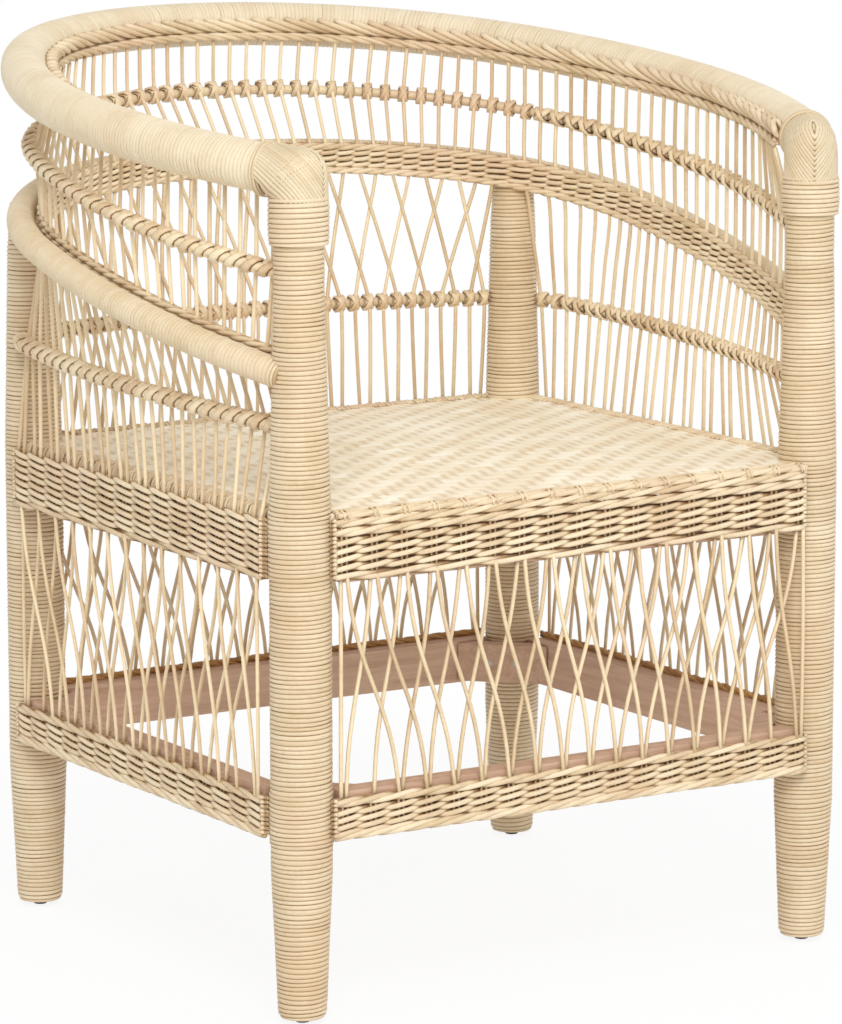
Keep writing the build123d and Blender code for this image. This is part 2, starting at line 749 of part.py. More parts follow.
def knot(across, ends):
    """A turn of cane round a rod and the stake inside it."""
    stake = across.from_local_coords(Vector(-stake_reach, 0, 0))
    with BuildPart() as made:
        with BuildSketch(across.offset(-knot_width / 2)):
            with Locations((-knot_shift, 0)):
                Circle(knot_radius)
            Circle(rod_radius + bore_gap, mode=Mode.SUBTRACT)
        extrude(amount=knot_width)
        with BuildLine() as way:
            Polyline(towards(stake, ends[0], 2 * knot_radius), stake,
                     towards(stake, ends[1], 2 * knot_radius))
        path = way.wire()
        with BuildSketch(Plane(origin=path @ 0, z_dir=path % 0)):
            Circle(stake_radius + bore_gap)
        sweep(path=path, transition=Transition.RIGHT, mode=Mode.SUBTRACT)
    return made.part


for side in (1, -1):
    for foot, low, arm, high, top in zip(feet(side), lower_places, arm_places, upper_places, top_places):
        under = band_low.place(arm, side=side).origin
        over = band_high.place(arm, side=side).origin
        head = top_hoop.place(top, -braid_offset, -rope_drop - rope_radius - stake_seat, side).origin
        low_across = beside(lower_hoop.place(low, side=side), foot, under)
        high_across = beside(upper_hoop.place(high, side=side), over, head)
        low_bend = low_across.from_local_coords(Vector(-stake_reach, 0, 0))
        high_bend = high_across.from_local_coords(Vector(-stake_reach, 0, 0))
        lower_stakes.append([towards(foot, low_bend, stake_clear), towards(low_bend, foot, stake_clear)])
        middle_stakes.append([towards(low_bend, under, stake_clear), towards(under, low_bend, stake_seat)])
        upper_stakes.append([towards(over, high_bend, stake_seat), high_bend, head])
        lower_knots.append((low_across, (foot, under)))
        upper_knots.append((high_across, (over, head)))

for name, stakes in (("lower_stakes", lower_stakes), ("middle_stakes", middle_stakes),
                     ("upper_stakes", upper_stakes)):
    with BuildPart() as stake_set:
        add([rod(points, stake_radius) for points in stakes])
    keep(stake_set, name)

for name, knots in (("lower_knots", lower_knots), ("upper_knots", upper_knots)):
    with BuildPart() as knot_set:
        add([knot(across, ends) for across, ends in knots])
    keep(knot_set, name)
print(len(finished), "parts written")
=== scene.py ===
import bmesh
import bpy
import math
import random
from mathutils import Matrix, Vector, noise


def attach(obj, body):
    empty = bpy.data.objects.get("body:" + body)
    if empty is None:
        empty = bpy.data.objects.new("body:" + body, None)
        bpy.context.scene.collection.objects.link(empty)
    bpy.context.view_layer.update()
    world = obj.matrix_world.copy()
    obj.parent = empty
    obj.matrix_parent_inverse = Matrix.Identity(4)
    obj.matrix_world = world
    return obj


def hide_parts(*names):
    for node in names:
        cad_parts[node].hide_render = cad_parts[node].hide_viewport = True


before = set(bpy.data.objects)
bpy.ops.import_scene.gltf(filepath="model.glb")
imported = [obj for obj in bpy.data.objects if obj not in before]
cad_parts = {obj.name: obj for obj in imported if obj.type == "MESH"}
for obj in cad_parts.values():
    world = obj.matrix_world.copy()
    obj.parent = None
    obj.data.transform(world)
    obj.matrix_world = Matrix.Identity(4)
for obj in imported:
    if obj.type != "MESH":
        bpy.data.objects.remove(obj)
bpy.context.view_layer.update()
scene = bpy.context.scene
scene.view_settings.view_transform = "Standard"
mm = 0.001  # lengths below are in millimetres, and become metres when a mesh is finished
print("frame loaded")

chair = {
    "halfWidth": 256.0,      # from the middle to the legs' axes
    "frontY": -311.05,       # front legs' axes
    "backY": 158.95,         # back legs' axes
    "seatHeight": 425.0,
    "bandTop": 192.0,
    "apronHeight": 51.5,
    "bandHeight": 35.5,
    "panelMiddle": 25.65,    # middle of the woven panels, out from the leg axes
    "panelEnd": 19.96,       # from a leg's axis to a panel's end
    "pairMargin": 6.0,       # from a panel's end to its first pair of stakes
    "pairGap": 2.4,          # half the distance between a pair's two stakes
    "footGap": 5.5,          # half the distance between the feet of a pair above the seat
    "footHeight": 419,       # where those feet stand in the apron
    "armBandHalf": 13.5,     # half the height of the woven arm band
}
middleY = (chair["frontY"] + chair["backY"]) / 2
sideLength = chair["backY"] - chair["frontY"]
frontLength = 2 * chair["halfWidth"]
sides = {  # middle of the leg line, rightwards and outwards as seen from outside, length, pairs, lay
    "front": (Vector((0, chair["frontY"], 0)), Vector((1, 0, 0)), Vector((0, -1, 0)), frontLength, 17, 1),
    "back": (Vector((0, chair["backY"], 0)), Vector((-1, 0, 0)), Vector((0, 1, 0)), frontLength, 16, -1),
    "left": (Vector((-chair["halfWidth"], middleY, 0)), Vector((0, -1, 0)), Vector((-1, 0, 0)),
             sideLength, 14, -1),
    "right": (Vector((chair["halfWidth"], middleY, 0)), Vector((0, 1, 0)), Vector((1, 0, 0)),
              sideLength, 14, 1),
}
legs = {"front_left": (-1, chair["frontY"], 681.3), "front_right": (1, chair["frontY"], 681.3),
        "back_left": (-1, chair["backY"], 636.0), "back_right": (1, chair["backY"], 636.0)}


# Finishes

def tint(red, green, blue):
    # A linear colour from screen values of 0 to 255
    return [(c / 255 / 12.92 if c <= 10 else ((c / 255 + 0.055) / 1.055) ** 2.4)
            for c in (red, green, blue)] + [1.0]


def groupSockets(group, inputs, outputs):
    for label, kind, value in inputs:
        group.interface.new_socket(name=label, in_out="INPUT", socket_type=kind).default_value = value
    for label, kind in outputs:
        group.interface.new_socket(name=label, in_out="OUTPUT", socket_type=kind)


def wire(tree, start, end):
    tree.links.new(start, end)


def node(tree, kind, **settings):
    made = tree.nodes.new(kind)
    for label, value in settings.items():
        setattr(made, label, value)
    return made


def mixColours(tree, factor, first, second):
    mix = node(tree, "ShaderNodeMix", data_type="RGBA")
    for socket, value in ((mix.inputs[0], factor), (mix.inputs[6], first), (mix.inputs[7], second)):
        if isinstance(value, bpy.types.NodeSocket):
            wire(tree, value, socket)
        else:
            socket.default_value = value
    return mix.outputs[2]


def maths(tree, operation, first, second=0.0, clamp=False):
    made = node(tree, "ShaderNodeMath", operation=operation, use_clamp=clamp)
    for socket, value in zip(made.inputs, (first, second)):
        if isinstance(value, bpy.types.NodeSocket):
            wire(tree, value, socket)
        else:
            socket.default_value = value
    return made.outputs[0]


grainValues = {
    "patchScale": 22.0, "patchShare": 1.6,                      # soft patches over several strands
    "speckShare": 0.9, "middle": 0.42,                          # fine specks, and the tone they vary round
    "blushScale": 9.0, "blushFrom": 0.5, "blushTo": 0.75, "blushShare": 0.55,
    # where the painted shade in grooves and hollows begins, and how much rougher it makes them
    "shadeFrom": 0.35, "roughness": 0.38, "roughShare": 0.2, "gapRoughness": 0.3,
}


def makeCaneGroup():
    # Colour, roughness and fine relief of split cane: each strand has its own tone, and the groove attribute
    # mixes in a painted shade colour for gaps and hollows
    v = grainValues
    group = bpy.data.node_groups.new("caneGrain", "ShaderNodeTree")
    groupSockets(group, [
        ("Pale", "NodeSocketColor", tint(240, 220, 176)),
        ("Deep", "NodeSocketColor", tint(214, 184, 134)),
        ("Blush", "NodeSocketColor", tint(222, 188, 150)),
        ("Painted gap shade", "NodeSocketColor", tint(84, 52, 24)),
        ("Variation", "NodeSocketFloat", 0.5),
        ("Painted gap shade strength", "NodeSocketFloat", 1.0),
        ("Streaks", "NodeSocketFloat", 260.0),
    ], [("Color", "NodeSocketColor"), ("Roughness", "NodeSocketFloat"), ("Height", "NodeSocketFloat")])
    start, end = node(group, "NodeGroupInput"), node(group, "NodeGroupOutput")
    where = node(group, "ShaderNodeTexCoord").outputs["Object"]
    island = node(group, "ShaderNodeNewGeometry").outputs["Random Per Island"]
    tone = node(group, "ShaderNodeAttribute", attribute_name="tone").outputs["Fac"]
    grooveShade = node(group, "ShaderNodeAttribute", attribute_name="grooveShade").outputs["Fac"]
    patch = node(group, "ShaderNodeTexNoise")
    patch.inputs["Scale"].default_value = v["patchScale"]
    patch.inputs["Detail"].default_value = 3.0
    fine = node(group, "ShaderNodeTexNoise")
    fine.inputs["Detail"].default_value = 4.0
    fine.inputs["Roughness"].default_value = 0.65
    wire(group, where, patch.inputs["Vector"])
    wire(group, where, fine.inputs["Vector"])
    wire(group, start.outputs["Streaks"], fine.inputs["Scale"])
    own = maths(group, "ADD", maths(group, "SUBTRACT", island, 0.5), tone)
    own = maths(group, "MULTIPLY", own, start.outputs["Variation"])
    drift = maths(group, "MULTIPLY", maths(group, "SUBTRACT", patch.outputs["Fac"], 0.5), v["patchShare"])
    speck = maths(group, "MULTIPLY", maths(group, "SUBTRACT", fine.outputs["Fac"], 0.5), v["speckShare"])
    shade = maths(group, "ADD", maths(group, "ADD", own, drift), maths(group, "ADD", speck, v["middle"]), True)
    body = mixColours(group, shade, start.outputs["Pale"], start.outputs["Deep"])
    warm = node(group, "ShaderNodeTexNoise")
    warm.inputs["Scale"].default_value = v["blushScale"]
    wire(group, where, warm.inputs["Vector"])
    blushRange = node(group, "ShaderNodeMapRange")
    blushRange.inputs["From Min"].default_value = v["blushFrom"]
    blushRange.inputs["From Max"].default_value = v["blushTo"]
    wire(group, warm.outputs["Fac"], blushRange.inputs["Value"])
    body = mixColours(group, maths(group, "MULTIPLY", blushRange.outputs[0], v["blushShare"]), body,
                      start.outputs["Blush"])
    # painted shade: groove values darken the colour towards the gap shade colour
    deepen = node(group, "ShaderNodeMapRange", interpolation_type="SMOOTHSTEP")
    deepen.inputs["From Min"].default_value = v["shadeFrom"]
    deepen.inputs["From Max"].default_value = 1.0
    wire(group, grooveShade, deepen.inputs["Value"])
    dark = maths(group, "MULTIPLY", deepen.outputs[0], start.outputs["Painted gap shade strength"], True)
    wire(group, mixColours(group, dark, body, start.outputs["Painted gap shade"]), end.inputs["Color"])
    rough = maths(group, "ADD", maths(group, "MULTIPLY", fine.outputs["Fac"], v["roughShare"]), v["roughness"])
    rough = maths(group, "ADD", rough, maths(group, "MULTIPLY", dark, v["gapRoughness"]), True)
    wire(group, rough, end.inputs["Roughness"])
    wire(group, fine.outputs["Fac"], end.inputs["Height"])
    return group


caneGroup = makeCaneGroup()


def material(label, group, values, bump=0.1, distance=0.0004, **shader):
    # A Principled surface that takes its colour, roughness and relief from a group
    made = bpy.data.materials.new(label)
    made.use_nodes = True
    tree = made.node_tree
    surface = tree.nodes["Principled BSDF"]
    effect = node(tree, "ShaderNodeGroup", node_tree=group)
    for socket, value in values.items():
        effect.inputs[socket].default_value = value
    relief = node(tree, "ShaderNodeBump")
    relief.inputs["Strength"].default_value = bump
    relief.inputs["Distance"].default_value = distance
    wire(tree, effect.outputs["Color"], surface.inputs["Base Color"])
    wire(tree, effect.outputs["Roughness"], surface.inputs["Roughness"])
    wire(tree, effect.outputs["Height"], relief.inputs["Height"])
    wire(tree, relief.outputs["Normal"], surface.inputs["Normal"])
    for socket, value in shader.items():
        surface.inputs[socket].default_value = value
    return made


def makeWoodGroup():
    # Planed board: long grain along the first axis, with darker pores
    group = bpy.data.node_groups.new("boardGrain", "ShaderNodeTree")
    groupSockets(group, [
        ("Light", "NodeSocketColor", tint(220, 188, 163)),
        ("Dark", "NodeSocketColor", tint(191, 155, 129)),
        ("Along", "NodeSocketVector", (0.0, 0.0, 0.0)),
    ], [("Color", "NodeSocketColor"), ("Roughness", "NodeSocketFloat"), ("Height", "NodeSocketFloat")])
    start, end = node(group, "NodeGroupInput"), node(group, "NodeGroupOutput")
    where = node(group, "ShaderNodeTexCoord").outputs["Object"]
    stretch = node(group, "ShaderNodeVectorMath", operation="MULTIPLY")
    wire(group, where, stretch.inputs[0])
    wire(group, start.outputs["Along"], stretch.inputs[1])
    grain = node(group, "ShaderNodeTexNoise")
    grain.inputs["Scale"].default_value = 1.0
    grain.inputs["Detail"].default_value = 6.0
    grain.inputs["Roughness"].default_value = 0.7
    grain.inputs["Distortion"].default_value = 0.4
    wire(group, stretch.outputs[0], grain.inputs["Vector"])
    ramp = node(group, "ShaderNodeMapRange")
    ramp.inputs["From Min"].default_value = 0.32
    ramp.inputs["From Max"].default_value = 0.68
    wire(group, grain.outputs["Fac"], ramp.inputs["Value"])
    wire(group, mixColours(group, ramp.outputs[0], start.outputs["Light"], start.outputs["Dark"]),
         end.inputs["Color"])
    wire(group, maths(group, "ADD", maths(group, "MULTIPLY", ramp.outputs[0], 0.2), 0.55),
         end.inputs["Roughness"])
    wire(group, grain.outputs["Fac"], end.inputs["Height"])
    return group


woodGroup = makeWoodGroup()

# each finish's gap colour is painted shade for its grooves and hollows
finishes = {
    "leg": material("legCane", caneGroup, {
        "Pale": tint(228, 211, 180), "Deep": tint(206, 182, 144), "Blush": tint(214, 184, 146),
        "Painted gap shade": tint(146, 108, 66), "Variation": 0.5, "Painted gap shade strength": 0.95},
        bump=0.12, **{"Coat Weight": 0.1, "Coat Roughness": 0.35}),
    "rail": material("railCane", caneGroup, {
        "Pale": tint(231, 216, 186), "Deep": tint(212, 190, 152), "Blush": tint(218, 193, 159),
        "Painted gap shade": tint(170, 136, 92), "Variation": 0.45, "Painted gap shade strength": 0.85},
        bump=0.08, **{"Coat Weight": 0.12, "Coat Roughness": 0.3}),
    "cap": material("capCane", caneGroup, {
        "Pale": tint(225, 210, 179), "Deep": tint(206, 184, 146), "Blush": tint(212, 186, 150),
        "Painted gap shade": tint(132, 98, 58), "Variation": 0.6, "Painted gap shade strength": 1.0},
        bump=0.1, **{"Coat Weight": 0.1, "Coat Roughness": 0.35}),
    "wicker": material("wickerCane", caneGroup, {
        "Pale": tint(234, 216, 184), "Deep": tint(206, 180, 142), "Blush": tint(220, 188, 158),
        "Painted gap shade": tint(144, 104, 58), "Variation": 0.8, "Painted gap shade strength": 1.0}, bump=0.12),
    "stake": material("stakeCane", caneGroup, {
        "Pale": tint(236, 217, 180), "Deep": tint(206, 179, 140), "Blush": tint(218, 184, 150),
        "Variation": 1.0, "Painted gap shade strength": 0.7}, bump=0.12),
    "peel": material("peelCane", caneGroup, {
        "Pale": tint(236, 218, 184), "Deep": tint(208, 178, 138), "Blush": tint(222, 190, 158),
        "Painted gap shade": tint(122, 86, 48), "Variation": 1.0, "Painted gap shade strength": 0.95}, bump=0.12),
    # a darker, warmer copy of the wicker cane: painted shade for the inner edge, which lies in shade
    "shadedEdging": material("shadedEdgeCane", caneGroup, {
        "Pale": tint(206, 164, 108), "Deep": tint(166, 120, 66), "Blush": tint(186, 140, 88),
        "Variation": 1.0}, bump=0.15),
    "seat": material("seatCane", caneGroup, {
        "Pale": tint(254, 247, 228), "Deep": tint(240, 224, 192), "Blush": tint(244, 227, 202),
        "Painted gap shade": tint(206, 176, 132), "Variation": 1.0, "Painted gap shade strength": 0.65}, bump=0.15),
    "boardX": material("boardAcross", woodGroup, {"Along": (9.0, 160.0, 160.0)}, bump=0.2),
    "boardY": material("boardAlong", woodGroup, {"Along": (160.0, 9.0, 160.0)}, bump=0.2),
    "pole": material("poleWood", woodGroup, {
        "Light": tint(196, 160, 116), "Dark": tint(160, 120, 80), "Along": (160.0, 160.0, 9.0)}, bump=0.2),
}


def plainGroup():
    # A moulded or turned surface with faint mottling
    group = bpy.data.node_groups.new("smallParts", "ShaderNodeTree")
    groupSockets(group, [
        ("Tone", "NodeSocketColor", tint(40, 36, 32)), ("Worn", "NodeSocketColor", tint(64, 58, 52)),
        ("Base roughness", "NodeSocketFloat", 0.4),
    ], [("Color", "NodeSocketColor"), ("Roughness", "NodeSocketFloat"), ("Height", "NodeSocketFloat")])
    start, end = node(group, "NodeGroupInput"), node(group, "NodeGroupOutput")
    mottle = node(group, "ShaderNodeTexNoise")
    mottle.inputs["Scale"].default_value = 420.0
    mottle.inputs["Detail"].default_value = 3.0
    wire(group, node(group, "ShaderNodeTexCoord").outputs["Object"], mottle.inputs["Vector"])
    wire(group, mixColours(group, mottle.outputs["Fac"], start.outputs["Tone"], start.outputs["Worn"]),
         end.inputs["Color"])
    wire(group, maths(group, "ADD", start.outputs["Base roughness"],
                      maths(group, "MULTIPLY", mottle.outputs["Fac"], 0.15)), end.inputs["Roughness"])
    wire(group, mottle.outputs["Fac"], end.inputs["Height"])
    return group


smallGroup = plainGroup()
finishes["glide"] = material("glideNylon", smallGroup, {"Base roughness": 0.35}, bump=0.1)
finishes["screw"] = material("screwSteel", smallGroup, {
    "Tone": tint(150, 146, 138), "Worn": tint(186, 180, 170), "Base roughness": 0.25},
    bump=0.05, Metallic=1.0)
print("finishes ready")


# Shared builders

def settle(name, mesh, finish, nodes, grooveShade=None, tone=None):
    # Make a finished mesh a piece of the chair; its groove values are painted shade, its tone values each
    # strand's own tone
    mesh.name = name
    mesh.materials.clear()
    mesh.materials.append(finishes[finish])
    mesh.shade_smooth()
    for label, values in (("grooveShade", grooveShade), ("tone", tone)):
        if values is not None:
            mesh.attributes.new(label, "FLOAT", "POINT").data.foreach_set("value", values)
    piece = bpy.data.objects.new(name, mesh)
    scene.collection.objects.link(piece)
    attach(piece, "root")
    if nodes:
        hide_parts(*nodes)


def strandMesh(runs, radius, sides=6, closed=False):
    # Round strands along their runs of points; a run may come with its swell at each point
    curve = bpy.data.curves.new("strands", "CURVE")
    curve.dimensions = "3D"
    curve.bevel_depth = radius * mm
    curve.bevel_resolution = (sides - 4) // 2
    curve.use_fill_caps = not closed
    for run in runs:
        points, swell = run if isinstance(run, tuple) else (run, None)
        spline = curve.splines.new("POLY")
        spline.points.add(len(points) - 1)
        spline.points.foreach_set("co", [c for p in points for c in (p[0] * mm, p[1] * mm, p[2] * mm, 1.0)])
        if swell:
            spline.points.foreach_set("radius", swell)
        spline.use_cyclic_u = closed
    holder = bpy.data.objects.new("strands", curve)
    scene.collection.objects.link(holder)
    mesh = bpy.data.meshes.new_from_object(holder)
    bpy.data.objects.remove(holder)
    bpy.data.curves.remove(curve)
    work = bmesh.new()
    work.from_mesh(mesh)
    bmesh.ops.remove_doubles(work, verts=work.verts, dist=1e-6)
    bmesh.ops.recalc_face_normals(work, faces=work.faces)
    work.to_mesh(mesh)
    work.free()
    return mesh


def strands(name, runs, radius, finish, nodes, sides=6, hollow=None):
    # Strands as a piece; hollow says how deep in the weave a point lies, from 0 to 1, and becomes its painted
    # shade
    mesh = strandMesh(runs, radius, sides)
    grooveShade = [hollow(v.co / mm) for v in mesh.vertices] if hollow else None
    settle(name, mesh, finish, nodes, grooveShade)


def joined(meshes):
    # Several meshes as one
    work = bmesh.new()
    for mesh in meshes:
        work.from_mesh(mesh)
    whole = bpy.data.meshes.new("joined")
    work.to_mesh(whole)
    work.free()
    return whole


def wander(seed, distance, reach):
    # A slow random drift along a strand
    return reach * noise.noise(Vector((distance * 0.02, seed * 7.31, 0.5)))


def evenly(start, end, count):
    return [start + (end - start) * index / (count - 1) for index in range(count)]


def smoothRun(points, steps=5, ease=0.45):
    # A run of points through the given ones that eases round its bends
    ends = [points[0] * 2 - points[1]] + points + [points[-1] * 2 - points[-2]]
    made = []
    for a, b, c, d in zip(ends, ends[1:], ends[2:], ends[3:]):
        length = (c - b).length
        leave = (c - a).normalized() * length * ease
        arrive = (d - b).normalized() * length * ease
        for step in range(steps):
            t = step / steps
            made.append(b * (2 * t**3 - 3 * t**2 + 1) + leave * (t**3 - 2 * t**2 + t)
                        + c * (3 * t**2 - 2 * t**3) + arrive * (t**3 - t**2))
    return made + [points[-1]]


windValues = {
    "section": [(0.0, 0.0), (0.2, 0.74), (0.5, 1.0), (0.8, 0.74), (1.0, 0.0)],   # share of the pitch, height
    "spinRadius": 10.0,
    # looser turns also get more painted shade in their gap
    "tightShare": 0.08, "looseDepth": 2.0, "looseShade": 0.6,   # some turns lie looser, with a deeper gap
    "swell": 0.25, "shift": 0.35, "toneReach": 0.8,
}


def wind(length, pitch, steps, relief, radius, place, seed, uneven=0.25, grooveShadeLevel=0.9):
    # One turn is spun, repeated along the pole and laid in place; radius depends on the distance along. The
    # grooves between turns get painted shade, more where a turn lies loose
    v = windValues
    work = bmesh.new()
    verts = [work.verts.new((v["spinRadius"] + height, 0, share * pitch)) for share, height in v["section"]]
    edges = [work.edges.new(pair) for pair in zip(verts, verts[1:])]
    bmesh.ops.spin(work, geom=verts + edges, cent=(0, 0, 0), axis=(0, 0, 1), dvec=(0, 0, pitch / steps),
                   angle=2 * math.pi, steps=steps)
    turn = bpy.data.meshes.new("turn")
    work.to_mesh(turn)
    work.free()
    holder = bpy.data.objects.new("turn", turn)
    scene.collection.objects.link(holder)
    array = holder.modifiers.new("turns", "ARRAY")
    array.use_relative_offset = False
    array.use_constant_offset = True
    array.constant_offset_displace = (0, 0, pitch)
    array.count = int(length / pitch) + 3
    wound = bpy.data.meshes.new_from_object(holder.evaluated_get(bpy.context.evaluated_depsgraph_get()))
    bpy.data.objects.remove(holder)
    wound.transform(Matrix.Translation((0, 0, -pitch)))
    work = bmesh.new()
    work.from_mesh(wound)
    bmesh.ops.remove_doubles(work, verts=work.verts, dist=1e-3)
    for level, way in ((0.0, -1), (length, 1)):
        bmesh.ops.bisect_plane(work, geom=work.verts[:] + work.edges[:] + work.faces[:], dist=1e-4,
                               plane_co=(0, 0, level), plane_no=(0, 0, way), clear_outer=True)
    bmesh.ops.holes_fill(work, edges=[e for e in work.edges if e.is_boundary], sides=0)
    work.verts.index_update()
    grooveShade, tone = [], []
    for vert in work.verts:
        x, y, along = vert.co
        angle = math.atan2(y, x) % (2 * math.pi)
        crest = math.hypot(x, y) - v["spinRadius"]
        lap = along / pitch - angle / (2 * math.pi) + 1e-3
        edge, strand = round(lap), math.floor(lap)
        loose = max(0.0, noise.noise(Vector((edge * 0.83, angle * 0.25, seed))) - v["tightShare"])
        swell = 1 + v["swell"] * noise.noise(Vector((strand * 1.37, angle * 0.3, seed + 5)))
        inner = relief * (1 - crest) * (1 + uneven * v["looseDepth"] * loose)
        reach = radius(along) - inner + (swell - 1) * relief * crest
        shift = pitch * v["shift"] * noise.noise(Vector((edge * 0.31, angle * 0.35, seed + 9)))
        settled = min(max(along + shift * min(1.0, along / pitch, (length - along) / pitch), 0.0), length)
        vert.co = place(settled, reach * math.cos(angle), reach * math.sin(angle))
        # painted shade in the groove between turns
        grooveShade.append((1 - crest) * (grooveShadeLevel + v["looseShade"] * loose))
        tone.append(v["toneReach"] * noise.noise(Vector((strand * 1.91, 0.2 * angle, seed + 3))))
    for edge in work.edges:
        edge.smooth = not all(level > 0.5 * grooveShadeLevel for level in (grooveShade[v.index] for v in edge.verts))
    bmesh.ops.recalc_face_normals(work, faces=work.faces)
    work.to_mesh(wound)
    work.free()
    wound.transform(Matrix.Scale(mm, 4))
    return wound, grooveShade, tone


# Bent rails

def makeHoop(halfWidth, widest, corner, backRadius, depth, frontZ, backZ, start):
    # A bent U in a plane that rises to the back: side, corner and back arcs of its right half
    run = math.hypot(depth, backZ - frontZ)
    widest *= run / depth
    sideRadius = ((halfWidth - start) ** 2 + widest**2) / (2 * (halfWidth - start))
    sideX = halfWidth - sideRadius
    if corner is None:
        reach = run - widest
        backRadius = (sideRadius**2 - sideX**2 - reach**2) / (2 * (sideRadius - reach))
    centres = [(sideX, widest, sideRadius), (0.0, run - backRadius, backRadius)]
    if corner is not None:
        fromSide, fromBack = sideRadius - corner, backRadius - corner
        gapX, gapY = -sideX, run - backRadius - widest
        gap = math.hypot(gapX, gapY)
        along = (fromSide**2 - fromBack**2 + gap**2) / (2 * gap)
        across = math.sqrt(fromSide**2 - along**2)
        centres.insert(1, (sideX + (along * gapX - across * gapY) / gap,
                           widest + (along * gapY + across * gapX) / gap, corner))
    arcs = []
    angle = -math.asin(widest / sideRadius)
    for index, (x, y, radius) in enumerate(centres):
        end = math.pi / 2
        if index < len(centres) - 1:
            nextX, nextY, nextRadius = centres[index + 1]
            end = math.atan2(y - nextY, x - nextX)
            if nextRadius < radius:
                end += math.pi
            end %= 2 * math.pi
        arcs.append((x, y, radius, angle, end))
        angle = end
    half = sum(radius * (last - first) for _, _, radius, first, last in arcs)
    slope = math.atan2(backZ - frontZ, depth)
    return {"arcs": arcs, "half": half, "frontZ": frontZ,
            "rise": Vector((0, math.cos(slope), math.sin(slope))),
            "normal": Vector((0, -math.sin(slope), math.cos(slope)))}


def alongHoop(hoop, distance, out=0.0, up=0.0):
    # A point on a hoop and its outward and forward directions, from the right front round to the left
    mirrored = distance > hoop["half"]
    run = 2 * hoop["half"] - distance if mirrored else distance
    stub = min(run, 0.0)
    run = max(run, 0.0)
    for x, y, radius, first, last in hoop["arcs"]:
        angle = first + run / radius
        if angle <= last + 1e-9:
            break
        run -= radius * (last - first)
    way = -1 if mirrored else 1
    outward = Vector((way * math.cos(angle), 0, 0)) + hoop["rise"] * math.sin(angle)
    ahead = Vector((-way * math.sin(angle), 0, 0)) + hoop["rise"] * math.cos(angle)
    hub = Vector((way * x, chair["frontY"], hoop["frontZ"])) + hoop["rise"] * y
    spot = hub + outward * (radius + out) + ahead * stub + hoop["normal"] * up
    return spot, outward, ahead


def offHoop(hoop, spot):
    # How far a point lies out from a hoop and up from its plane
    x, rise = abs(spot.x), spot - Vector((0, chair["frontY"], hoop["frontZ"]))
    along, up = rise.dot(hoop["rise"]), rise.dot(hoop["normal"])
    for centreX, centreY, radius, first, last in hoop["arcs"]:
        if math.atan2(along - centreY, x - centreX) <= last + 1e-6:
            break
    return math.hypot(x - centreX, along - centreY) - radius, up


def ringRound(hoop, run, offset, reach, steps, sway=0.0):
    # A ring of points round a rail that lies this far out from the hoop
    turns = [2 * math.pi * step / steps for step in range(steps)]
    return [alongHoop(hoop, run + sway * math.sin(turn), offset + reach * math.cos(turn),
                      reach * math.sin(turn))[0] for turn in turns]


hoops = {
    "top": makeHoop(317.8, 239, None, None, 632, 703.7, 779.7, 256),
    "arm": makeHoop(305.4, 262, 214, 426, 536, 541, 660.4, 250),
    "upper": makeHoop(314, 241, 225, 345, 580, 620, 721, 256),
    "lower": makeHoop(297, 290, 70, 1100, 505, 495, 524, 256),
}


def onSide(side, run, out, height):
    # A point by one side of the chair: along to the right, outwards from the leg line, and up
    middle, right, outward = sides[side][:3]
    return middle + right * run + outward * out + Vector((0, 0, height))


# Legs and rails

legValues = {
    "foot": 5,               # height of the glide
    "pitch": 3.85,           # width of the winding cane
    "relief": 1.2,           # depth between two turns
    "profile": [(5, 18.6), (9, 20.5), (130, 25.9), (425, 25.9), (610, 21.2), (700, 21.2)],
    "steps": 30,
    "lashed": ((152, 196), (374, 430)), "lashing": 0.9,   # where the front left leg is wound twice
    "headFrom": 598, "head": 0.045,   # the back legs narrow under the arm rail
}


def legRadius(height):
    for (low, first), (high, second) in zip(legValues["profile"], legValues["profile"][1:]):
        if height <= high:
            return first + (second - first) * (height - low) / (high - low)
    return legValues["profile"][-1][1]


def windLeg(name, seed):
    v = legValues
    side, y, top = legs[name]

    def place(along, x, across):
        return Vector((side * chair["halfWidth"] + x, y + across, v["foot"] + along))

    def outline(along):
        height = v["foot"] + along
        if name == "front_left" and any(low < height < high for low, high in v["lashed"]):
            return legRadius(height) + v["lashing"]
        if name.startswith("back"):
            return legRadius(height) - v["head"] * max(0.0, height - v["headFrom"])
        return legRadius(height)

    mesh, grooveShade, tone = wind(top - v["foot"], v["pitch"], v["steps"], v["relief"], outline, place, seed)
    settle(f"{name}LegCane", mesh, "leg", [f"{name}_leg_wrap"], grooveShade, tone)


for index, name in enumerate(legs):
    windLeg(name, index * 11.3)
print("legs wound")

railValues = {
    "top": {"radius": 20.5, "pitch": 3.9, "relief": 0.45, "steps": 26, "trim": 24.0},
    "arm": {"radius": 12.5, "pitch": 3.9, "relief": 0.45, "steps": 20, "trim": 17.5, "offset": 18.2},
    # how much painted shade the rails' grooves get
    "uneven": 0.2, "grooveShadeLevel": 0.62,
    "rings": ((16.0, 11.2), (12.8, 10.4), (10.0, 9.6)),   # the arm rail's last turns by the front legs
    "ringRadius": 1.8, "ringSway": 1.2, "ringSteps": 28, "ringFace": 12.6, "ringTone": 0.3,
}
topLength = 2 * hoops["top"]["half"]
armLength = 2 * hoops["arm"]["half"]


def windRail(name, length, seed):
    v = railValues[name]
    offset = v.get("offset", 0.0)
    return wind(length - 2 * v["trim"], v["pitch"], v["steps"], v["relief"], lambda along: v["radius"],
                lambda along, x, y: alongHoop(hoops[name], along + v["trim"], x + offset, y)[0],
                seed, railValues["uneven"], railValues["grooveShadeLevel"])


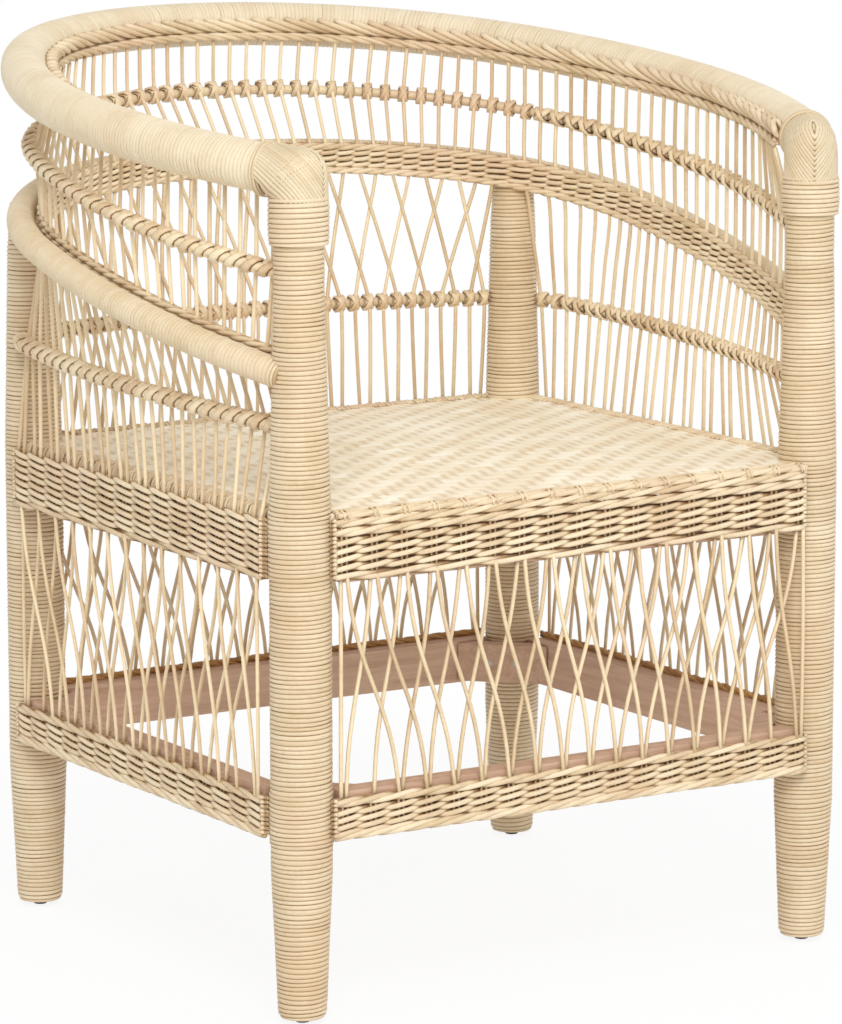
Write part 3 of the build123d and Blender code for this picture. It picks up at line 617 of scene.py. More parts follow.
mesh, grooveShade, tone = windRail("top", topLength, 61.0)
settle("topRailCane", mesh, "rail", ["top_rail_wrap"], grooveShade, tone)

mesh, grooveShade, tone = windRail("arm", armLength, 83.0)
armOffset = railValues["arm"]["offset"]
rings = [ringRound(hoops["arm"], far, armOffset, reach, railValues["ringSteps"], railValues["ringSway"])
         for run, reach in railValues["rings"] for far in (run, armLength - run)]
ends = strandMesh(rings, railValues["ringRadius"], 8, closed=True)
# painted shade where the end rings sink into the rail
for vert in ends.vertices:
    out, up = offHoop(hoops["arm"], vert.co / mm)
    depth = railValues["ringFace"] - math.hypot(out - armOffset, up)
    grooveShade.append(max(0.0, min(1.0, depth / railValues["ringRadius"])))
    tone.append(railValues["ringTone"])
settle("armRailCane", joined([mesh, ends]), "rail", ["arm_rail_wrap"], grooveShade, tone)
print("rails wound")


# Elbow lashings and collars

elbowValues = {
    "bottoms": {-1: 682.0, 1: 672.5},                           # left and right: lower rim
    "sleeves": {-1: 22.8, 1: 22.2}, "halves": {-1: 24.2, 1: 23.6},   # radius on the rail, half width on the leg
    "centre": 703.0, "front": 24.4, "reach": 29.0, "corner": 22.0,
    "grid": (150, 180),
    "pitch": 4.4, "relief": 1.2, "lean": 0.8, "across": 1.0,    # the slanted turns
    # the gap values set painted shade: in the grooves between turns, in the inner corner's rings and along the
    # spine
    "sideFrom": 26, "crest": 2.2, "toneReach": 0.9, "gap": 0.85,
    "inner": -46.0, "ringDepth": 1.6, "ringShade": 0.4,           # the rings in the inner corner
    "spineFrom": -8, "spineWidth": 1.5, "spineDepth": 0.6, "spineShade": 0.3,
    "seams": (28.6, 31.6), "seamRadius": 21.8, "seamStrand": 1.6, "seamSteps": 40,
}


def elbowLash(side):
    # The lashing over a front elbow: slanted turns that meet in a spine towards the front; its grooves, inner
    # rings and spine get painted shade
    v = elbowValues
    _, _, ahead = alongHoop(hoops["top"], 0 if side > 0 else topLength)
    back = Vector((ahead.x, ahead.y, 0)).normalized()
    across = Vector((-back.y, back.x, 0))
    bottom, sleeve, half = v["bottoms"][side], v["sleeves"][side], v["halves"][side]
    foot = Vector((side * chair["halfWidth"], chair["frontY"], bottom))
    crown = v["centre"] + sleeve - bottom
    straight = crown - v["corner"]
    arc = v["corner"] * math.pi / 2
    level = v["front"] - v["corner"] + v["reach"]
    total = straight + arc + level
    slope = ahead.z / math.hypot(ahead.x, ahead.y)

    def section(run):
        # Outer and inner point of the ring at this distance along the outer face
        if run < straight:
            outer = (-v["front"], run)
        elif run < straight + arc:
            turn = (run - straight) / v["corner"]
            outer = (-v["front"] + v["corner"] * (1 - math.cos(turn)),
                     straight + v["corner"] * math.sin(turn))
        else:
            outer = (-v["front"] + v["corner"] + run - straight - arc, crown)
        share = run / total
        inner = (half + (v["reach"] - half) * share, (crown - 2 * sleeve) * share)
        return outer, inner

    work = bmesh.new()
    bmesh.ops.create_grid(work, x_segments=v["grid"][0], y_segments=v["grid"][1], size=0.5)
    for vert in work.verts:
        run = (vert.co.x + 0.5) * total
        angle = (vert.co.y + 0.5) * 2 * math.pi
        (outU, outH), (inU, inH) = section(run)
        wide = half + (sleeve - half) * run / total
        u = (outU + inU) / 2 + (outU - inU) / 2 * math.cos(angle)
        h = (outH + inH) / 2 + (outH - inH) / 2 * math.cos(angle)
        vert.co = Vector((u, wide * math.sin(angle), h + slope * max(u, 0)))
    bmesh.ops.remove_doubles(work, verts=work.verts, dist=1e-3)
    bmesh.ops.holes_fill(work, edges=[e for e in work.edges if e.is_boundary], sides=0)
    bmesh.ops.recalc_face_normals(work, faces=work.faces)
    grooveShade, tone, moved = [], [], []
    for vert in work.verts:
        u, w, h = vert.co
        lateral = min(abs(w), v["sideFrom"])
        order = h - v["lean"] * (u + v["front"]) - v["across"] * lateral
        rings = order < v["inner"]
        lap = (u if rings else order) / v["pitch"]
        share = lap - math.floor(lap)
        crest = 1 - abs(2 * share - 1) ** v["crest"]
        spine = math.exp(-(w / v["spineWidth"]) ** 2) if u < v["spineFrom"] else 0.0
        depth = v["relief"] * (1 - crest) + (v["ringDepth"] if rings else 0.0) + v["spineDepth"] * spine
        moved.append(vert.co - vert.normal * depth)
        grooveShade.append(min(1.0, (1 - crest) * v["gap"] + (v["ringShade"] if rings else 0) + v["spineShade"] * spine))
        tone.append(v["toneReach"] * noise.noise(Vector((math.floor(lap) * 1.7, side * 4.0, 2.0 + (w > 0)))))
    for vert, spot in zip(work.verts, moved):
        vert.co = foot + back * spot.x + across * spot.y + Vector((0, 0, spot.z))
    mesh = bpy.data.meshes.new("elbow")
    bmesh.ops.recalc_face_normals(work, faces=work.faces)
    work.to_mesh(mesh)
    work.free()
    mesh.transform(Matrix.Scale(mm, 4))
    name = "right" if side > 0 else "left"
    rings = [ringRound(hoops["top"], run if side > 0 else topLength - run, 0.0, v["seamRadius"], v["seamSteps"])
             for run in v["seams"]]
    seam = strandMesh(rings, v["seamStrand"], closed=True)
    # a low painted shade level on the seam rings
    grooveShade += [0.3] * len(seam.vertices)
    tone += [0.1] * len(seam.vertices)
    settle(f"{name}ElbowLashing", joined([mesh, seam]), "cap", [f"{name}_elbow_lashing"],
           grooveShade, tone)


collarValues = {
    "spans": {-1: (647.0, 686.4), 1: (643.0, 675.5)},   # left and right: lower and upper rim
    "radius": 25.3, "rounding": 0.8, "pitch": 4.0, "relief": 1.25, "steps": 30,
}


def windCollar(side):
    # The thicker turn of cane under a front elbow
    v = collarValues
    low, high = v["spans"][side]

    def place(along, x, across):
        return Vector((side * chair["halfWidth"] + x, chair["frontY"] + across, low + along))

    def outline(along):
        return v["radius"] - v["rounding"] * abs(1 - 2 * along / (high - low)) ** 3

    name = "right" if side > 0 else "left"
    mesh, grooveShade, tone = wind(high - low, v["pitch"], v["steps"], v["relief"], outline, place, 31.0 + side)
    settle(f"{name}LegCollar", mesh, "leg", [f"{name}_leg_collar"], grooveShade, tone)


for side in (-1, 1):
    elbowLash(side)
    windCollar(side)
print("elbows lashed")


# Twined rows

def twinedRow(place, columns, span, values, lay, seed):
    # Two strands that twist once between neighbouring columns
    edges = [span[0]] + [(a + b) / 2 for a, b in zip(columns, columns[1:])] + [span[1]]
    rows = []
    for parity in (0, 1):
        points = []
        for index, column in enumerate(columns):
            front = 1 if (index + parity) % 2 == 0 else -1
            for share in values["shares"]:
                edge = edges[index] if share < 0 else edges[index + 1]
                run = column + abs(share) * (edge - column)
                turn = math.copysign(abs(share) ** values["sharp"], share) * math.pi / 2
                rise = lay * values["lift"] * front * math.sin(turn)
                rise += wander(seed, run, values["loose"])
                points.append(place(run, values["depth"] * front * math.cos(turn), rise))
        points.append(place(span[1], 0, 0))
        rows.append(points)
    return rows


def waled(place, span, values, lay, seed):
    # Strands twisted round each other with a long lay
    runs = []
    count = int((span[1] - span[0]) / values["step"]) + 1
    for strand in range(values["strands"]):
        points = []
        for run in evenly(span[0], span[1], count):
            turn = (lay * 2 * math.pi * (run - span[0]) / values["lay"] + values.get("start", 0.0)
                    + strand * 2 * math.pi / values["strands"])
            points.append(place(run, values["depth"] * math.cos(turn),
                                values["lift"] * math.sin(turn) + wander(seed, run, values["loose"])))
        runs.append(points)
    return runs


rowValues = {   # a strand's points between two crossings, how sharply it turns there, and its reach
    "shares": (-1, -0.75, -0.4, 0, 0.4, 0.75), "sharp": 1.35, "lift": 1.6, "depth": 2.25, "loose": 0.5,
}
ropeOf = {"strands": 3, "lay": 84.0, "depth": 2.4, "lift": 2.0, "step": 7.0, "loose": 0.5}
bandValues = {
    "radius": 2.3, "ropeRadius": 2.4, "stakeRadius": 1.35, "overlap": 3.4,
    "apronTrim": 7.0, "bandTrim": 3.0,   # how much shorter the front panels are at their right ends
    "edgeRadius": 1.6, "edgePitch": 3.3, "edgeBulge": 0.6, "edgeReach": 3.7, "edgeLean": 0.8,
    "faceDepth": 3.6, "fadeDepth": 3.4, "ropeTurn": 1.9,
}
footRopes = {
    "apron": {**ropeOf, "strands": 2, "lay": 120.0, "lift": 1.7},
    "band": {**ropeOf, "strands": 4, "lay": 96.0, "lift": 2.6},
}
innerEdge = {**ropeOf, "lay": 46.0, "depth": 1.9, "lift": 1.7, "inset": 4.0, "height": 197.8, "radius": 2.0}
bandRows = {  # heights of the twined rows and of the ropes above and below them, down the panel
    "frontApron": ((404.6, 397.6, 390.6, 383.6), (420.6, 413.0), 376.0),
    "apron": ((419.6, 413.2, 406.8, 400.4, 394.0, 387.6, 381.4), (), 375.4),
    "band": ((180.0, 173.6, 167.4), (187.6,), 160.4),
}


def pairColumns(side):
    # Places of the stake pairs in a side's seat apron, from the middle, and in its lower band
    _, _, _, length, pairs, _ = sides[side]
    first = chair["panelEnd"] + chair["pairMargin"] - length / 2
    above = evenly(first, -first, pairs)
    below = evenly(first, -first, pairs + 1)
    return above, below


def hollowOf(side):
    # How deep behind the outer and inner faces of a side's panel a point lies, which sets its painted shade
    middle, _, outward = sides[side][:3]

    def hollow(spot):
        out = (spot - middle).dot(outward) - chair["panelMiddle"]
        return max(0.0, min(1.0, (bandValues["faceDepth"] - abs(out)) / bandValues["fadeDepth"]))
    return hollow


def panelStakes(side, columns, bottom, top):
    runs = []
    for column in columns:
        for shift in (-chair["pairGap"], chair["pairGap"]):
            runs.append([onSide(side, column + shift, chair["panelMiddle"], height)
                         for height in (bottom, top + random.uniform(-0.6, 0.8))])
    return runs


def panelMesh(side, columns, rows, ropes, foot, seed):
    # A woven panel: twined rows between ropes, on pairs of stakes, with its ends bound
    v = bandValues
    kind = "band" if foot < chair["bandTop"] else "apron"
    length, lay = sides[side][3], sides[side][5]
    reach = length / 2 - chair["panelEnd"] + v["overlap"]
    trim = v[f"{kind}Trim"] if side == "front" else 0.0
    span = (-reach, reach - trim)
    top = max(rows + ropes) + 4

    def at(height):
        return lambda run, out, up: onSide(side, run, chair["panelMiddle"] + out, height + up)

    runs, thick = [], []
    for index, height in enumerate(rows):
        runs += twinedRow(at(height), columns, span, rowValues, lay, seed + index)
    for index, height in enumerate(ropes):
        thick += waled(at(height), span, {**ropeOf, "start": v["ropeTurn"] * index}, lay, seed + 30 + index)
    thick += waled(at(foot), span, footRopes[kind], lay, seed + 60)
    bindings = []
    for way, end in ((-1, span[0]), (1, span[1])):
        for height in evenly(foot, top - 2, int((top - foot) / v["edgePitch"])):
            height += random.uniform(-0.4, 0.4)
            bindings.append([onSide(side, end + way * v["edgeBulge"] * math.cos(turn),
                                    chair["panelMiddle"] + v["edgeReach"] * math.sin(turn),
                                    height + v["edgeLean"] * turn)
                             for turn in evenly(-1.5, 1.5, 6)])
    return joined([strandMesh(runs, v["radius"]), strandMesh(thick, v["ropeRadius"]),
                   strandMesh(panelStakes(side, columns, foot, top - 4), v["stakeRadius"]),
                   strandMesh(bindings, v["edgeRadius"])])


random.seed(4)
for sideIndex, side in enumerate(sides):
    above, below = pairColumns(side)
    hollow = hollowOf(side)
    mesh = panelMesh(side, above, *bandRows["frontApron" if side == "front" else "apron"], sideIndex * 17)
    settle(f"{side}Apron", mesh, "wicker", [f"{side}_apron"],
           [hollow(v.co / mm) for v in mesh.vertices])
    mesh = panelMesh(side, below, *bandRows["band"], sideIndex * 31 + 7)
    # the inner edge takes the darker cane copy as painted shade
    if side in ("right", "back"):   # wicker that shows over the stretcher from inside
        reach = sides[side][3] / 2 - chair["panelEnd"]
        edge = waled(lambda run, out, up: onSide(side, run, chair["panelMiddle"] - innerEdge["inset"] + out,
                                                 innerEdge["height"] + up),
                     (-reach, reach), innerEdge, -1, sideIndex + 70)
        strands(f"{side}InnerEdge", edge, innerEdge["radius"], "shadedEdging", [])
    settle(f"{side}LowerBand", mesh, "wicker", [f"{side}_lower_band"],
           [hollow(v.co / mm) for v in mesh.vertices])
print("aprons and lower bands woven")

skirtValues = {
    "radius": 1.75, "top": 376.0, "foot": 189.0, "gap": 1.95,
    "layer": 1.85,           # the two crossing layers lie this far from the panel's middle
    "ease": 0.55, "bow": 2.0, "steps": 14,
}
for side in sides:
    _, _, _, length, pairs, _ = sides[side]
    first = chair["panelEnd"] + chair["pairMargin"] - length / 2
    pitch = -2 * first / (pairs - 1)
    footPitch = -2 * first / pairs
    runs = []
    for index in range(pairs):
        spot = first + index * pitch
        rightFoot = first + footPitch * (index + 2) - chair["pairGap"]
        if index == pairs - 1:
            rightFoot = -first + chair["pairGap"]
        leftFoot = first + footPitch * (index - 1) + chair["pairGap"]
        if index == 0:
            leftFoot = first - chair["pairGap"]
        for above, below, layer in ((spot + skirtValues["gap"], rightFoot, 1),
                                    (spot - skirtValues["gap"], leftFoot, -1)):
            bow = random.uniform(-1, 1) * skirtValues["bow"]
            points = []
            for step in range(skirtValues["steps"] + 1):
                t = step / skirtValues["steps"]
                ease = t - skirtValues["ease"] * math.sin(2 * math.pi * t) / (2 * math.pi)
                run = above + (below - above) * ease + bow * math.sin(math.pi * t)
                points.append(onSide(side, run, chair["panelMiddle"] + layer * skirtValues["layer"],
                                     skirtValues["top"] + (skirtValues["foot"] - skirtValues["top"]) * t))
            runs.append(points)
    strands(f"{side}Skirt", runs, skirtValues["radius"], "stake", [f"{side}_skirt"])
print("skirts strung")


# Stakes, lashed rods and knots

stakeValues = {
    "radius": 1.8, "reach": 6.7, "bendSteps": 6,
    "lower": (30.4, 456.6, 517.4),   # first and last stake of a side and first of the back, along each rod
    "arm": (39.9, 476.0, 504.0),
    "upper": 30.4,
    "bandFace": 2, "lean": 1.2, "crossing": 2.4,   # at the arm band, and where two stakes cross
    "head": (-24.8, -12.0),          # out from the top rail's middle, and up
}
sidePairs, backPairs = sides["right"][4], sides["back"][4]
halfCount = 2 * sidePairs + backPairs


def toMiddle(start, hoop, count):
    step = (hoop["half"] - start) / (count - 0.5)
    return [start + step * index for index in range(count)]


def alongRod(name):
    # Places of the stakes on one half of a rod
    first, last, backStart = stakeValues[name]
    return evenly(first, last, 2 * sidePairs) + toMiddle(backStart, hoops[name], backPairs)


def allRound(hoop, half):
    # Places on one half, and their mirror images, from the right front leg round to the left one
    return half + [2 * hoop["half"] - place for place in reversed(half)]


def between(keys, index):
    # A value between the two nearest of the given (index, value) pairs
    for (low, first), (high, second) in zip(keys, keys[1:]):
        if index <= high:
            return first + (second - first) * (index - low) / (high - low)
    return keys[-1][1]


def stakeFeet():
    # Feet of the stakes, from the right front leg round to the left one
    first = chair["panelEnd"] + chair["pairMargin"]
    feet = []
    for spot in evenly(first, sideLength - first, sidePairs):
        for shift in (-chair["footGap"], chair["footGap"]):
            feet.append(Vector((chair["halfWidth"] + chair["panelMiddle"], chair["frontY"] + spot + shift,
                                chair["footHeight"])))
    for spot in evenly(first, frontLength - first, backPairs)[:backPairs // 2]:
        for shift in (-chair["footGap"], chair["footGap"]):
            feet.append(Vector((chair["halfWidth"] - spot - shift, chair["backY"] + chair["panelMiddle"],
                                chair["footHeight"])))
    return feet + [Vector((-foot.x, foot.y, foot.z)) for foot in reversed(feet)]


def crossing(count):
    # Which place above each stake goes to, and which way it leans, where pairs cross twice
    above, lean = [0] * count, [0] * count
    above[count - 2] = count - 1
    for start in range(1, count - 2, 2):
        above[start + 2], lean[start + 2] = start, 1
        above[start - 1], lean[start - 1] = start + 1, -1
    return above, lean


def besideRod(hoop, distance, start, end):
    # The spot where a stake passes a rod on its inner side, and the rod's frame turned to it
    centre, outward, ahead = alongHoop(hoop, distance)
    run = end - start
    run = (run - ahead * run.dot(ahead)).normalized()
    away = run.cross(ahead)
    if away.dot(outward) < 0:
        away = -away
    return centre, away, ahead


stakeSlips = {   # counted from the right front leg: the stake, and how far it slips along
    "low": [(0, 0), (10, -3), (18, -6), (23, -5), (25, -2), (27, 0), (87, 0)],
    "foot": [(0, 0), (8, -3), (15, -2), (17, -5), (20, -13), (22, -17), (24, -14), (26, -12), (27, -6),
             (28, 0), (87, 0)],
    "head": [(0, 0), (8, 2), (16, 12), (24, 18), (27, 16), (28, 8), (34, 5), (50, 0), (87, 0)],
}
topPlaces = [(0, 37), (3, 58), (6, 94), (12, 213), (24, 431), (43.5, 796), (56, 1030), (64, 1178), (87, 1593.8)]
lowPlaces = [place + between(stakeSlips["low"], index) for index, place in enumerate(alongRod("lower"))]
stations = {
    "lower": allRound(hoops["lower"], lowPlaces),
    "arm": allRound(hoops["arm"], alongRod("arm")),
    "upper": allRound(hoops["upper"], toMiddle(stakeValues["upper"], hoops["upper"], halfCount)),
}
stakeCount = 2 * halfCount
backFirst = 2 * sidePairs
goesTo, leans = crossing(2 * backPairs)
lowerRuns, middleRuns, upperRuns, knotSpots = [], [], [], {"lower": [], "upper": []}
feet = stakeFeet()
for index in range(stakeCount):
    onBack = backFirst <= index < stakeCount - backFirst
    over = backFirst + goesTo[index - backFirst] if onBack else index
    lean = leans[index - backFirst] if onBack else 0
    lowAt, armAt, highAt = stations["lower"][index], stations["arm"][over], stations["upper"][over]
    fromEnd = min(over, stakeCount - 1 - over)
    slip = between(stakeSlips["foot"], fromEnd) * (1 if over < halfCount else -1)
    face, half = stakeValues["bandFace"], chair["armBandHalf"]
    bandFoot = alongHoop(hoops["arm"], armAt + slip, -face + stakeValues["lean"] * lean, -half)[0]
    bandHead = alongHoop(hoops["arm"], armAt + between(stakeSlips["head"], over), face, half)[0]
    head = alongHoop(hoops["top"], between(topPlaces, over), *stakeValues["head"])[0]
    ownFoot = alongHoop(hoops["arm"], stations["arm"][index] + slip, -face, -half)[0]
    lowCentre, lowAway, lowAhead = besideRod(hoops["lower"], lowAt, feet[index], ownFoot)
    highCentre, highAway, highAhead = besideRod(hoops["upper"], highAt, bandHead, head)
    lowBend = lowCentre - lowAway * stakeValues["reach"]
    highBend = highCentre - highAway * stakeValues["reach"]
    middle = (lowBend + bandFoot) / 2 + lowAway * stakeValues["crossing"] * lean
    steps = stakeValues["bendSteps"]
    line = smoothRun([feet[index], lowBend, middle, bandFoot, bandHead, highBend, head], steps)
    lowerRuns.append(line[:steps + 1])
    middleRuns.append(line[steps:3 * steps + 2])
    upperRuns.append(line[4 * steps - 1:])
    knotSpots["lower"].append((lowCentre, lowAway, lowAhead, index))
    knotSpots["upper"].append((highCentre, highAway, highAhead, over))
for name, runs in (("lower", lowerRuns), ("middle", middleRuns), ("upper", upperRuns)):
    strands(f"{name}Stakes", runs, stakeValues["radius"], "stake", [f"{name}_stakes"])

rodValues = {"radius": 4.3, "step": 9.0, "trim": 14, "sides": 10}
for name in ("upper", "lower"):
    hoop = hoops[name]
    total = 2 * hoop["half"]
    spots = evenly(rodValues["trim"], total - rodValues["trim"], int(total / rodValues["step"]))
    strands(f"{name}Rod", [[alongHoop(hoop, run)[0] for run in spots]], rodValues["radius"], "stake",
            [f"{name}_rod"], rodValues["sides"])

knotValues = {
    # the core value is the painted shade on the inner edges of the middle turn
    "centre": -2.2, "outScale": 1.12, "steps": 8, "shoulder": 0.55, "coreShade": 0.4, "uneven": 0.08,
    "cornerStakes": 2,       # this many stakes beside each back leg are tied as those of the back are
    # radius, half width and thickness of each turn, how far it leans along the rod and sits out from it
    "back": [(4.2, 4.8, 1.9, 0.0, 0.0), (5.2, 3.1, 2.4, 1.9, 0.0), (5.2, 3.1, 2.9, -1.9, 0.0)],
    "side": [(4.2, 6.8, 1.0, 0.0, 0.0), (5.0, 3.3, 2.2, 4.0, -1.7), (5.3, 5.4, 2.2, -4.4, 0.8)],
}


def knotUnit(turns):
    # A lashing round a rod and a stake, in a frame of out, up and along the rod; the inner edges of its turns
    # get painted shade
    v = knotValues
    work = bmesh.new()
    shadeOf = work.verts.layers.float.new("grooveShade")
    for radius, half, thick, lean, offset in turns:
        shoulder = v["shoulder"] * half
        profile = [(radius, -half), (radius + thick, -shoulder), (radius + thick, shoulder), (radius, half)]
        verts = [work.verts.new((reach, 0, along)) for reach, along in profile]
        edges = [work.edges.new(pair) for pair in zip(verts, verts[1:] + verts[:1])]
        bmesh.ops.spin(work, geom=verts + edges, cent=(0, 0, 0), axis=(0, 0, 1), angle=2 * math.pi,
                       steps=v["steps"], use_merge=True)
        for vert in work.verts:
            if not vert.tag:   # this turn's own
                vert.tag = True
                # painted shade on this turn's inner edges
                if math.hypot(vert.co.x, vert.co.y) < radius + thick / 2:
                    vert[shadeOf] = 1.0 if lean else v["coreShade"]
                vert.co.z += lean * vert.co.y / radius
                vert.co.x += offset
    bmesh.ops.recalc_face_normals(work, faces=work.faces)
    for vert in work.verts:
        vert.co.x = v["centre"] + vert.co.x * v["outScale"]
    mesh = bpy.data.meshes.new("knot")
    work.to_mesh(mesh)
    work.free()
    mesh.transform(Matrix.Scale(mm, 4))
    return mesh


knotUnits = {"back": knotUnit(knotValues["back"]), "side": knotUnit(knotValues["side"])}
for name, spots in knotSpots.items():
    meshes = []
    for centre, away, ahead, index in spots:
        up = ahead.cross(away)
        if up.z < 0:
            up = -up
        beside = min(index, stakeCount - 1 - index) < backFirst - knotValues["cornerStakes"]
        scale = 1 + knotValues["uneven"] * noise.noise(Vector((index * 1.7, 3.1, 0.2)))
        turned = Matrix((away * scale, up * scale, ahead)).transposed().to_4x4()
        turned.translation = centre * mm
        copy = knotUnits["side" if beside else "back"].copy()
        copy.transform(turned)
        if turned.determinant() < 0:
            copy.flip_normals()
        meshes.append(copy)
    settle(f"{name}Knots", joined(meshes), "peel", [f"{name}_knots"])
print("stakes and knots tied")


# Arm band, top braid and rope

armRow = {**rowValues, "lift": 1.4, "depth": 2.2, "shares": (-1, -0.6, 0, 0.6), "sharp": 2.2}
armRope = {**ropeOf, "lay": 47.0, "depth": 1.9, "lift": 1.9}
armValues = {
    "rows": (-5.4, 0.0, 5.4), "ropes": (-10.8, 10.8), "radius": 2.1, "ropeRadius": 2.3,
    "trim": 24.0, "faceDepth": 3.3, "fadeDepth": 3.0,
}
armSpan = (armValues["trim"], armLength - armValues["trim"])


def bandLean(height):
    # The arm band leans outwards as it rises
    return stakeValues["bandFace"] * height / chair["armBandHalf"]


def onArm(height):
    return lambda run, out, up: alongHoop(hoops["arm"], run, out + bandLean(height + up), height + up)[0]


runs, thick = [], []
for row, height in enumerate(armValues["rows"]):
    runs += twinedRow(onArm(height), stations["arm"], armSpan, armRow, 1, 200 + row)
for row, height in enumerate(armValues["ropes"]):
    thick += waled(onArm(height), armSpan, armRope, 1, 210 + row)
mesh = joined([strandMesh(runs, armValues["radius"]), strandMesh(thick, armValues["ropeRadius"])])
# painted shade deeper inside the arm band
grooveShade = []
for vert in mesh.vertices:
    out, up = offHoop(hoops["arm"], vert.co / mm)
    depth = armValues["faceDepth"] - abs(out - bandLean(up))
    grooveShade.append(max(0.0, min(1.0, depth / armValues["fadeDepth"])))
settle("armBand", mesh, "wicker", ["arm_band"], grooveShade)

braidValues = {
    "start": 36.0, "radius": 2.6, "sides": 8, "step": 17.2,
    "loose": 0.6, "stretch": 0.05, "tuck": 2,   # how unevenly the strands lie, and how far their ends tuck in
    # how far along, out and up a strand of the border lies on its way under the next ones
    "way": [(2, -19.0, 4.4), (-4, -20.6, 7.6), (-5, -24.0, 9.0), (1, -27.0, 7.6), (12, -27.4, 4.6),
            (24, -26.4, 1.6), (36, -24.2, -1.2), (47, -21.6, -2.8)],
    "swell": [0.8] + [1.0] * 10 + [0.9, 0.8, 0.7, 0.6],
    "backDepth": 21.6, "fadeDepth": 3.2,
}
braidEnd = topLength - braidValues["start"]
runs = []
count = int((topLength - 2 * braidValues["start"]) / braidValues["step"])
for index in range(count):
    hook = braidEnd - (index + 0.5) * (braidEnd - braidValues["start"]) / count
    loose = random.uniform(-braidValues["loose"], braidValues["loose"])
    points = []
    for along, out, up in braidValues["way"]:
        run = hook - along * (1 + braidValues["stretch"] * loose)
        run = max(run, braidValues["start"] - braidValues["tuck"])
        points.append(alongHoop(hoops["top"], run, out, up + loose)[0])
    runs.append((smoothRun(points, 2), braidValues["swell"]))


def underRail(spot):
    # How deep between the border's strands and the rail a point lies, which sets its painted shade
    depth = offHoop(hoops["top"], spot)[0] + braidValues["backDepth"]
    return max(0.0, min(1.0, depth / braidValues["fadeDepth"]))


strands("topBraid", runs, braidValues["radius"], "wicker", ["top_braid"], braidValues["sides"],
        underRail)

ropeValues = {**ropeOf, "lay": 52.0, "depth": 2.0, "lift": 2.1, "step": 5.0, "radius": 2.3,
              "offset": -24.8, "drop": -7.6}
runs = waled(lambda run, out, up: alongHoop(hoops["top"], run, ropeValues["offset"] + out,
                                            ropeValues["drop"] + up)[0],
             (braidValues["start"], braidEnd), ropeValues, -1, 300)
strands("topRope", runs, ropeValues["radius"], "wicker", ["top_rope"], hollow=underRail)
print("arm band and braid woven")


# Seat

seatValues = {
    "low": (-269.5, -331.05), "high": (269.5, 172.45), "cell": 2.0,
    "top": 428.0, "bottom": 418.0,
    "crown": 7.0, "middleY": -79.3, "crownX": 269.5, "crownY": 252,
    "warp": 10.0, "weft": 10.8, "relief": 1.3,
    "repeat": 4, "over": 2.7, "under": 0.4,   # of each four warps, how many a weft covers; height of the rest
    "shift": 1.35, "swing": 1.7,              # each row steps on by this many warps, and waves by this much
    "sway": 7.0, "drift": 2.2, "uneven": 0.7,
    # gap: how quickly the painted shade fades as the weft rises
    "gap": 1.2, "toneReach": 0.8,
}


def weaveSeat():
    # The plaited top: broad wefts that pass over some warps and under the next, a step further in each row; the
    # lower parts get painted shade
    v = seatValues
    (lowX, lowY), (highX, highY) = v["low"], v["high"]
    wide, deep = highX - lowX, highY - lowY
    work = bmesh.new()
    bmesh.ops.create_grid(work, x_segments=int(wide / v["cell"]), y_segments=int(deep / v["cell"]), size=0.5)
    for vert in work.verts:
        vert.co = Vector((lowX + (vert.co.x + 0.5) * wide, lowY + (vert.co.y + 0.5) * deep, 0))
    grooveShade, tone = [], []
    for vert in work.verts:
        x, y, _ = vert.co
        dome = v["crown"] * (1 - (x / v["crownX"]) ** 2) * (1 - ((y - v["middleY"]) / v["crownY"]) ** 2)
        sway = v["sway"] * noise.noise(Vector((x * 0.011, y * 0.016, 3.0)))
        wave = y + sway + v["drift"] * noise.noise(Vector((x * 0.045, y * 0.04, 9.0)))
        index = math.floor(wave / v["weft"])
        column = (x + sway) / v["warp"] - index * v["shift"] + v["uneven"] * noise.noise(Vector((index, 5, 1)))
        row = (wave + v["swing"] * math.sin(math.pi * column / 2)) / v["weft"]
        phase, across = column % v["repeat"], row % 1
        if phase < v["over"]:   # the weft lies on top
            hump = math.sin(math.pi * phase / v["over"]) ** 0.55
            ridge = (1 - abs(2 * across - 1) ** 3) ** 0.8
            level = hump * (0.35 + 0.65 * ridge)
            strip = math.floor(row) * 3.7 + math.floor(column / v["repeat"]) * 0.9
        else:
            level = v["under"] * math.sin(math.pi * (phase - v["over"]) / (v["repeat"] - v["over"]))
            strip = 400 + math.floor(column) * 1.3
        vert.co.z = v["top"] + dome - v["relief"] * (1 - level) - 0.1
        grooveShade.append(max(0.0, 1.0 - v["gap"] * level))
        tone.append(v["toneReach"] * noise.noise(Vector((strip, 0.01 * x, 7.0))))
    mesh = bpy.data.meshes.new("seat")
    rim = bmesh.ops.extrude_edge_only(work, edges=[e for e in work.edges if e.is_boundary])
    for item in rim["geom"]:
        if isinstance(item, bmesh.types.BMVert):
            item.co.z = v["bottom"]
    bmesh.ops.holes_fill(work, edges=[e for e in work.edges if e.is_boundary], sides=0)
    # the rim gets a middle level of painted shade
    grooveShade += [0.5] * (len(work.verts) - len(grooveShade))
    tone += [0.0] * (len(work.verts) - len(tone))
    bmesh.ops.recalc_face_normals(work, faces=work.faces)
    work.to_mesh(mesh)
    work.free()
    mesh.transform(Matrix.Scale(mm, 4))
    settle("seatWeave", mesh, "seat", ["seat_weave"], grooveShade, tone)


weaveSeat()

